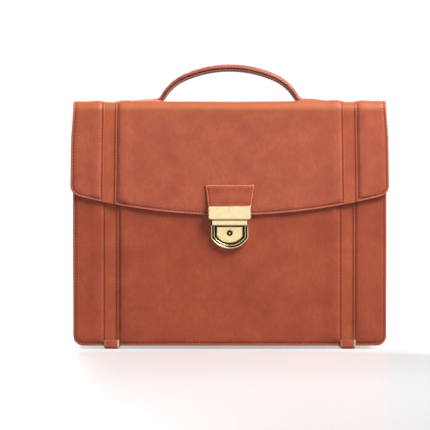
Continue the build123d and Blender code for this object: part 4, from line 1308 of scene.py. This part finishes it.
def handle_layer(name, half, material):
    """Draws a layer straight from its right-hand (width, height) points, and bends it."""
    section = half + [(-y, z) for y, z in reversed(half) if abs(y) > 0.001]
    bm = bmesh.new()
    verts = [bm.verts.new((-HALF_ARCH, y, z)) for y, z in section]
    face = bm.faces.new(verts)
    move = ((2 * HALF_ARCH / BAR_STEPS, 0, 0), 0.0, BAR_STEPS, (0, 0, 0))
    draw_along(bm, [face, *face.edges, *face.verts], (1, 0, 0), [move])
    bend_to_arch(bm)
    return finished(name, bm, [material], sharp_deg=50)


# %% Cover, painted edge line, strap and stitches of the handle
cover_half = [(0, 4.1), (3, 4.05), (6, 3.8), (8.5, 3.25), (10.3, 2.4), (11.4, 1.2)]
cover_half += [(11.9, 0.1), (12.0, -0.5)]
cover = handle_layer("handle_padding", cover_half, TRIM_LEATHER)
edge_half = [(12.05, -0.35), (12.25, -0.8), (12.25, -1.7), (12.05, -2.1)]
edge_line = handle_layer("handle_edge", edge_half, EDGE_PAINT_AND_SHADE_LEATHER)
strap_half = [(11.75, -2.05), (11.8, -2.8), (11.6, -3.7), (11.0, -4.1), (0, -4.15)]
strap = handle_layer("handle_underside", strap_half, STRAP_LEATHER)
stitch_bm = bmesh.new()
count = round(2 * HALF_ARCH / STITCH_PITCH)
for side in (-1, 1):
    for index in range(3, count - 3):
        spot = -HALF_ARCH + (index + 0.5) * 2 * HALF_ARCH / count
        tilt = Matrix.Rotation(math.radians(24) * side, 4, "Y")
        for y, z, size in (
            (side * 12.0, 0.45, (1.1, 0.16, 0.28)),
            (side * 10.0, -4.1, (1.35, 0.42, 0.25)),
        ):
            slant = tilt if z > 0 else Matrix.Identity(4)
            place_of = Matrix.Translation((spot, y, z)) @ slant
            add_bead(stitch_bm, place_of @ Matrix.Diagonal((*size, 1.0)))
bend_to_arch(stitch_bm)
handle_stitches = finished("handle_stitching", stitch_bm, [THREAD], merge=0)
handle_pieces = [
    (cover, "flap_leather", ["handle_cover"]),
    (edge_line, None, []),
    (strap, "sole_leather", ["handle_strap"]),
    (handle_stitches, None, []),
]
blend_across(handle_pieces)

# %% [markdown]
# ## Slit welts
# Each end of the handle goes under the top through a slit with a raised lip. The lip
# is a ring of leather round the strap: a flat oval, inset and raised. The slit inside the
# lip is a near-black face, as painted shade.


# %% Raised lips round the handle's ends
WELT_X, WELT_HALF_X, WELT_HALF_Y = 88.6, 7.2, 13.4
WELT_RINGS = [(0.5, 0.9), (0.7, 1.5), (0.8, 1.7), (0.7, 1.3), (0.4, -0.6)]


def make_welt(side_name, side):
    bm = bmesh.new()
    bmesh.ops.create_circle(bm, cap_ends=True, segments=48, radius=1.0)
    for vert in bm.verts:
        angle = math.atan2(vert.co.y, vert.co.x)
        square = (abs(math.cos(angle)) ** 4 + abs(math.sin(angle)) ** 4) ** -0.25
        x = side * WELT_X + WELT_HALF_X * square * math.cos(angle)
        y = HANDLE_Y + WELT_HALF_Y * square * math.sin(angle)
        vert.co = Vector((x, y, TOP_Z - 0.4))
    middle = bm.faces[:][0]
    for thickness, height in WELT_RINGS:
        inset_ring(bm, middle, thickness)
        for vert in middle.verts:
            outward = limited((abs(vert.co.x) - 86.0) / 7.0)
            vert.co.z = TOP_Z + height * (1 + 1.3 * outward) + 0.9 * outward
    for face in bm.faces:
        face.material_index = 0
    # The middle face, the slit itself, is near-black: painted shade.
    middle.material_index = 1
    welt = finished(f"slit_lip_{side_name}", bm, [TRIM_LEATHER, EDGE_PAINT_AND_SHADE_LEATHER], sharp_deg=60)
    ride_on(welt, "flap_top", "flap_leather")


for side_name, side in SIDES:
    make_welt(side_name, side)

# %% [markdown]
# ## The hasp
# A leather tab is sewn to the flap and carries the brass hasp: a bevelled bar on its
# face, a tongue behind it with the band under the bar, and a hook that enters the lock.


# %% Leather tab
TAB_LOW_HALF = 24.6
TAB_RINGS = [(0.0, -0.9), (0.3, -0.35), (0.7, -0.08), (1.1, 0.0), (1.6, -0.15), (2.1, 0.0)]
TAB_RINGS += [(2.5, 0.0), (2.9, -0.28), (3.3, 0.0), (5.0, 0.0)]


def make_tab():
    low, high = millimetres("hasp_tab")
    top_half, drop = high.x, low.z - high.z
    right = [(TAB_LOW_HALF, drop), (top_half, 0)]
    bm = flat_outline([(-x, y) for x, y in reversed(right)] + right)

    def lay_tab(x, down, raised):
        z = high.z - down
        stand = 2.8 * smooth_step((192.5 - z) / 15.0)
        return Vector((x, FLAP_Y - stand - 2.4 - raised, z))

    panel, loop = make_panel(
        "hasp_leather",
        bm,
        lay_tab,
        TAB_LEATHER,
        thickness=2.2,
        rings=TAB_RINGS,
        seed=31.0,
        # On the tab's top edge this mask is a painted highlight of the lit edge.
        bend=lambda x, down: 1.2 * math.exp(-((down / 2.2) ** 2)),
    )
    tab_stitches = bmesh.new()
    sew(tab_stitches, loop, lay_tab, lambda x, down: 3.6 < down < 25)
    sewn = finished("hasp_stitching", tab_stitches, [THREAD], merge=0)
    ride_on(panel, "flap_front", "flap_leather", "hasp_tab")
    ride_on(sewn, "flap_front")


make_tab()


# %% Bevelled blocks for the hasp's metal
def block(bm, low, high):
    """Adds a box between two corners and returns its vertices."""
    size = Vector(high) - Vector(low)
    middle = (Vector(high) + Vector(low)) / 2
    return bmesh.ops.create_cube(
        bm, size=1.0, matrix=Matrix.Translation(middle) @ Matrix.Diagonal((*size, 1.0))
    )["verts"]


LARGE_FACE = 30.0


def hold_flat(bm, least):
    """Gives each large flat face a thin frame, so that its shading stays flat."""
    large = [face for face in bm.faces if face.calc_area() > least]
    bmesh.ops.inset_individual(bm, faces=large, thickness=0.07, depth=0.0)


def make_hasp_bar():
    low, high = millimetres("hasp_plate")
    bm = bmesh.new()
    block(bm, low, high)

    def rim(y):
        return [e for e in bm.edges if all(abs(v.co.y - y) < 0.001 for v in e.verts)]

    for z, radius, segments in ((low.z, 3.4, 6), (high.z, 1.1, 4)):
        corners = [
            e
            for e in bm.edges
            if abs(e.verts[0].co.y - e.verts[1].co.y) > 0.1
            and all(abs(v.co.z - z) < 0.01 for v in e.verts)
        ]
        bevelled(bm, corners, radius, segments)
    bevelled(bm, rim(low.y), 1.15, 4)
    bevelled(bm, rim(high.y), 0.3, 2)
    hold_flat(bm, LARGE_FACE)
    bar = finished("hasp_bar", bm, [BRASS], sharp_deg=50)
    ride_on(bar, "flap_front", "brass", "hasp_plate")


make_hasp_bar()

# %% Tongue, band and hook
HOOK_OUT, HOOK_IN = 9.5, 3.9


def make_tongue():
    """The tongue behind the tab, the band below the bar, and the hook."""
    low, high = millimetres("hasp_tongue")
    bar_low, bar_high = millimetres("hasp_plate")
    band_face, band_back = bar_high.y + 0.2, FRONT_Y - 2.2
    band_high = bar_low.z - 0.8
    bm = bmesh.new()
    block(bm, (low.x, band_face, low.z), (high.x, band_back, band_high))
    bevelled(bm, bm.edges[:], 0.55, 3)
    hold_flat(bm, LARGE_FACE)
    plate = bmesh.new()
    plate_low = (low.x + 0.4, band_back - 2.4, band_high - 1)
    block(plate, plate_low, (high.x - 0.4, band_back - 0.4, high.z))
    bevelled(plate, plate.edges[:], 0.3, 2)
    hook = bmesh.new()
    near, leg_z, bar_z, top = band_back - 0.5, low.z + 1.2, band_high - 1.2, band_high - 0.4
    for left, right, bottom in (
        (-HOOK_OUT, -HOOK_IN, leg_z),
        (HOOK_IN, HOOK_OUT, leg_z),
        (-HOOK_OUT, HOOK_OUT, bar_z),
    ):
        block(hook, (left, near, bottom), (right, high.y, top))
    for other in (plate, hook):
        mesh = bpy.data.meshes.new("part")
        other.to_mesh(mesh)
        other.free()
        bm.from_mesh(mesh)
        bpy.data.meshes.remove(mesh)
    tongue = finished("hasp_band", bm, [BRASS], sharp_deg=50, merge=0)
    ride_on(tongue, "flap_front", "brass", "hasp_tongue")


make_tongue()

# %% [markdown]
# ## The lock
# The lock's face is one shield outline, stepped inwards: a rounded outer ring, a groove,
# a second ring, a groove, and the opening for the button. Each step is an inset that is
# then moved in depth, so every ring follows the outline.

# %% Shield outline
LOCK_LOW, LOCK_HIGH = millimetres("lock_plate")
BUTTON_FACE_Y = millimetres("lock_button")[0].y
LOCK_HALF = LOCK_HIGH.x
LOCK_ARC_R = 26.6
RING_TOP = 150.8
print("lock from", LOCK_LOW, "to", LOCK_HIGH)


def shield(half, low_z, radius, top_z, steps=28):
    """Flat face with straight sides and a round lower end, facing the front."""
    centre_z = low_z + radius
    side_z = centre_z - math.sqrt(radius**2 - half**2)
    bm = flat_outline(
        [(-half, top_z), (-half, side_z), (half, side_z), (half, top_z)],
        arc=(1, centre_z, steps),
    )
    stand_up(bm)
    return bm


def step_in(bm, face, moves, base_y):
    """Insets a face and sets its depth, for each (inset, y) move."""
    for thickness, y in moves:
        inset_ring(bm, face, thickness)
        for vert in face.verts:
            vert.co.y = base_y - y


# %% Face plate with its two rings: (inset, height) steps
RING_STEPS = [(0.02, 4.6), (0.25, 5.15), (0.4, 5.45), (0.75, 5.5), (0.4, 5.3), (0.2, 4.9)]
RING_STEPS += [(0.1, 2.4), (1.3, 2.4), (0.1, 4.8), (0.2, 5.2), (0.35, 5.4), (0.5, 5.35)]
RING_STEPS += [(0.3, 5.1), (0.1, 2.4), (1.9, 2.2)]


def make_lock_rings():
    bm = shield(LOCK_HALF, LOCK_LOW.z, LOCK_ARC_R, RING_TOP + 12)
    for vert in bm.verts:
        vert.co.y = FRONT_Y
    outer = bm.faces[:][0]
    step_in(bm, outer, RING_STEPS, FRONT_Y)
    bmesh.ops.delete(bm, geom=[outer], context="FACES_ONLY")
    inner_rim = [
        e for e in bm.edges if e.is_boundary and min(v.co.y for v in e.verts) < FRONT_Y - 1
    ]
    for item in bmesh.ops.extrude_edge_only(bm, edges=inner_rim)["geom"]:
        if isinstance(item, bmesh.types.BMVert):
            item.co.y = FRONT_Y
    slice_at(bm, (0, 0, RING_TOP), (0, 0, 1), dist=0.001, clear=True)
    for way in (-1, 1):
        cut = [
            e
            for e in bm.edges
            if e.is_boundary
            and all(abs(v.co.z - RING_TOP) < 0.001 and v.co.x * way > 0 for v in e.verts)
        ]
        bmesh.ops.contextual_create(bm, geom=cut)
    for face in bm.faces:
        # Faces low in the grooves are near-black: painted shade.
        shaded_groove_floor = all(v.co.y > FRONT_Y - 4.9 for v in face.verts)
        at_edge = any(v.co.y > FRONT_Y - 0.01 for v in face.verts)
        face.material_index = int(shaded_groove_floor and not at_edge)
    rings = finished("lock_rings", bm, [BRASS, SHADE_BLACK_METAL], sharp_deg=50)
    ride_on(rings, "front", "brass", "lock_plate")


def make_lock_head():
    """The frame of the hook's opening above the rings, and a near-black floor behind them
    as painted shade.
    """
    bm = bmesh.new()
    half, inner, top = LOCK_HALF - 2.3, 10.5, LOCK_HIGH.z
    for left, right, bottom, upper in (
        (-half, -inner, RING_TOP, top),
        (inner, half, RING_TOP, top),
        (-inner, inner, 157.2, top),
        (-inner, inner, RING_TOP, RING_TOP + 1.0),
    ):
        block(bm, (left, FRONT_Y - 1.6, bottom), (right, FRONT_Y, upper))
    floor_low = (-half + 4.5, FRONT_Y - 1.4, RING_TOP - 1.4)
    floor = block(bm, floor_low, (half - 4.5, FRONT_Y, RING_TOP))
    # The floor is near-black, painted shade of the opening.
    for face in {face for vert in floor for face in vert.link_faces}:
        face.material_index = 1
    head = finished("lock_head", bm, [BRASS_SATIN, SHADE_BLACK_METAL], sharp_deg=50, merge=0)
    ride_on(head, "front", "brass")


make_lock_rings()
make_lock_head()

# %% Press button with its keyhole dish
BUTTON_INSET = 7.2
BUTTON_TOP = 149.2
KEY_Z = 141.4
KEYHOLE_R, DISH_R = 3.75, 7.0


def make_button():
    half, low_z = LOCK_HALF - BUTTON_INSET, LOCK_LOW.z + BUTTON_INSET
    bm = shield(half, low_z, LOCK_ARC_R - BUTTON_INSET, BUTTON_TOP, steps=24)
    for vert in bm.verts:
        vert.co.y = FRONT_Y - 0.2
    rise = [(0.02, 4.4), (0.2, 4.75), (0.3, 4.9), (0.5, 4.95)]
    step_in(bm, bm.faces[:][0], rise, FRONT_Y)
    for value in steps_between(-half, half, 1.2):
        slice_at(bm, (value, 0, 0), (1, 0, 0))
    for value in steps_between(low_z, BUTTON_TOP, 1.2):
        slice_at(bm, (0, 0, value), (0, 0, 1))
    for value in steps_between(-4.2, 4.2, 0.42):
        slice_at(bm, (value, 0, 0), (1, 0, 0))
        slice_at(bm, (0, 0, KEY_Z + value), (0, 0, 1))
    for vert in bm.verts:
        if vert.co.y < FRONT_Y - 4:
            reach = math.hypot(vert.co.x, vert.co.z - KEY_Z)
            vert.co.y += 0.1 * max(0.0, 1 - (reach / DISH_R) ** 2)
    hole = [
        face
        for face in bm.faces
        if face.calc_center_median().y < FRONT_Y - 4
        and all(math.hypot(v.co.x, v.co.z - KEY_Z) < KEYHOLE_R for v in face.verts)
    ]
    bmesh.ops.delete(bm, geom=hole, context="FACES")
    button = finished("button_face", bm, [BRASS_SATIN], sharp_deg=50)
    ride_on(button, "lock_button", "brass_satin", "lock_button")


make_button()


# %% Collar of the keyhole and the pin in it
def standing_disc(radius, segments, y, steps, stretch=1.0):
    """A round plate at the keyhole, facing the front and stepped inwards."""
    bm = bmesh.new()
    bmesh.ops.create_circle(bm, cap_ends=True, segments=segments, radius=radius)
    bmesh.ops.scale(bm, vec=(1, stretch, 1), verts=bm.verts[:])
    stand_up(bm)
    bmesh.ops.translate(bm, verts=bm.verts[:], vec=(0, y, KEY_Z))
    disc = bm.faces[:][0]
    step_in(bm, disc, steps, y)
    return bm, disc


COLLAR_STEPS = [(0.1, 0.3), (0.3, 0.5), (0.35, 0.45), (0.3, -1.2)]
ring, disc = standing_disc(4.1, 40, BUTTON_FACE_Y + 0.6, COLLAR_STEPS)
# The disc at the bottom of the collar is near-black, painted shade of the keyhole.
disc.material_index = 1
collar = finished("keyhole_collar", ring, [BRASS, SHADE_BLACK_METAL], sharp_deg=40)
ride_on(collar, "lock_button", "brass_satin")
PIN_STEPS = [(0.02, 3.2), (0.15, 3.5), (0.3, 3.65), (0.3, 3.7)]
pin, disc = standing_disc(1.15, 24, BUTTON_FACE_Y + 3.6, PIN_STEPS, stretch=1.35)
post = finished("key_pin", pin, [BRASS], sharp_deg=50)
ride_on(post, "key_barrel", "brass")

# %% [markdown]
# ## Imported pieces that keep their own shape
# What is left of the imported model is already the right shape: the lining board, the
# divider, the screws, springs and the works of the lock. Each one gets a real finish,
# except the key barrel, which is near-black as painted shade of the keyhole.

# %% Give the imported pieces their finishes
FINISHES = [
    (TWILL, ["front_lining", "divider", "inner_pocket"]),
    (BOARD, ["base_board", "handle_core"]),
    (STRAP_LEATHER, ["handle_patch", "handle_anchor_left", "handle_anchor_right"]),
    (BRASS, ["anchor_rivets", "hasp_rivets"]),
    (STEEL, ["lock_case", "lock_clip", "lock_screws", "button_springs", "lock_bolt"]),
    # The key barrel is near-black, painted shade of the keyhole.
    (SHADE_BLACK_METAL, ["key_barrel"]),
]
for material, nodes in FINISHES:
    for node in nodes:
        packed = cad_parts[node]
        if not packed.material_slots:
            packed.data.materials.append(material)
        for place_of in packed.material_slots:
            place_of.material = material
    print(material.name, "on", len(nodes), "packed pieces")

# %% [markdown]
# ## Studio
# The case stands on a wide round floor that glows softly white away from it, in a white
# surround. Only the camera sees that glow and that surround at full strength, so they
# don't wash out the leather. A soft light from above and the right lights the folds, and
# weaker ones fill the left, the back and the ends.


# %% Floor, lights and surround
FLOOR_R = 9.0
FLOOR_BOUNCE = (0.30, 0.295, 0.29, 1)
FLOOR_DARKER, FLOOR_PALER = (0.435, 0.424, 0.42, 1), (0.465, 0.454, 0.45, 1)
GLOW_STOPS = [(0.33, 0.26), (0.46, 0.85), (0.62, 1.0)]


def make_floor():
    """A wide round floor; the camera sees it pale, and it throws little light back."""
    bm = bmesh.new()
    bmesh.ops.create_circle(bm, cap_ends=True, segments=64, radius=FLOOR_R / MM)
    material, tree, shader = new_material("floor", (0.9, 0.9, 0.9))
    where = object_place(tree)
    mottle = noise_at(tree, where, 3.0, 2.0, 0.5)
    pale = mix_colour(tree, mottle, FLOOR_DARKER, FLOOR_PALER)
    seen = tree.nodes.new("ShaderNodeLightPath").outputs["Is Camera Ray"]
    near = add_node(tree, "ShaderNodeMapping", Location=(0, 0.75, 0), Scale=(1.6, 1, 0.5))
    reach = add_node(tree, "ShaderNodeVectorMath", operation="LENGTH")
    join(tree, (where, near.inputs[0]), (near.outputs[0], reach.inputs[0]))
    away = maths(tree, "DIVIDE", reach.outputs["Value"], 2.0, clamp=True)
    glow = mix_colour(tree, seen, (0.0, 0.0, 0.0, 1), ramp(tree, away, GLOW_STOPS))
    join(
        tree,
        (mix_colour(tree, seen, FLOOR_BOUNCE, pale), shader.inputs["Base Color"]),
        (glow, shader.inputs["Emission Color"]),
    )
    set_values(shader, Emission_Strength=1.0, Roughness=0.32, Specular_IOR_Level=0.25)
    finished("floor", bm, [material])


def area_light(name, location, size, power):
    """A soft rectangular lamp that shines at the middle of the case."""
    data = bpy.data.lights.new(name, "AREA")
    data.shape = "RECTANGLE"
    data.size, data.size_y = size
    data.energy = power
    lamp = in_scene(name, data)
    lamp.location = location
    lamp.visible_camera = False
    aim = Vector((0, 0, 0.17)) - Vector(location)
    lamp.rotation_euler = aim.to_track_quat("-Z", "Y").to_euler()
    print(name, power, "W")


make_floor()
area_light("key_upper_right", (1.1, -0.85, 2.0), (1.2, 1.2), 104)
area_light("window_left", (-1.2, -2.4, 0.6), (0.5, 1.6), 3)
area_light("card_behind_camera", (0, -3.6, 0.5), (1.7, 1.2), 8)
area_light("fill_behind", (-0.9, 2.2, 1.3), (1.6, 1.6), 45)
area_light("fill_left", (-2.4, 0.35, 0.8), (1.2, 1.2), 16)
area_light("fill_right", (2.4, 0.35, 0.8), (1.2, 1.2), 10)

# %% Surround
WORLD_STRENGTH, SEEN_STRENGTH = 0.07, 0.95
world = bpy.data.worlds.new("surround")
world.use_nodes = True
surround = world.node_tree.nodes["Background"]
set_values(surround, Color=(1, 1, 1, 1))
seen = world.node_tree.nodes.new("ShaderNodeLightPath").outputs["Is Camera Ray"]
bright = maths(world.node_tree, "MULTIPLY_ADD", seen, SEEN_STRENGTH, WORLD_STRENGTH)
join(world.node_tree, (bright, surround.inputs["Strength"]))
bpy.context.scene.world = world
print("surround", WORLD_STRENGTH, "and to the camera", WORLD_STRENGTH + SEEN_STRENGTH)

# %% [markdown]
# ## Camera
# The case is seen square on, from half its height and from some way off, so that its
# edges stay parallel.

# %% Place the camera
DISTANCE = 3.0
VIEW_WIDTH = 0.5255
CAMERA_X, CAMERA_Z = -0.0180, 0.1635
camera_data = bpy.data.cameras.new("camera")
camera_data.sensor_width = 36.0
camera_data.lens = camera_data.sensor_width * DISTANCE / VIEW_WIDTH
camera = in_scene("camera", camera_data)
camera.location = (CAMERA_X, FRONT_Y * MM - DISTANCE, CAMERA_Z)
camera.rotation_euler = (math.pi / 2, 0, 0)
bpy.context.scene.camera = camera
print("lens", round(camera_data.lens, 1), "mm")
bpy.context.scene.view_settings.view_transform = "Standard"
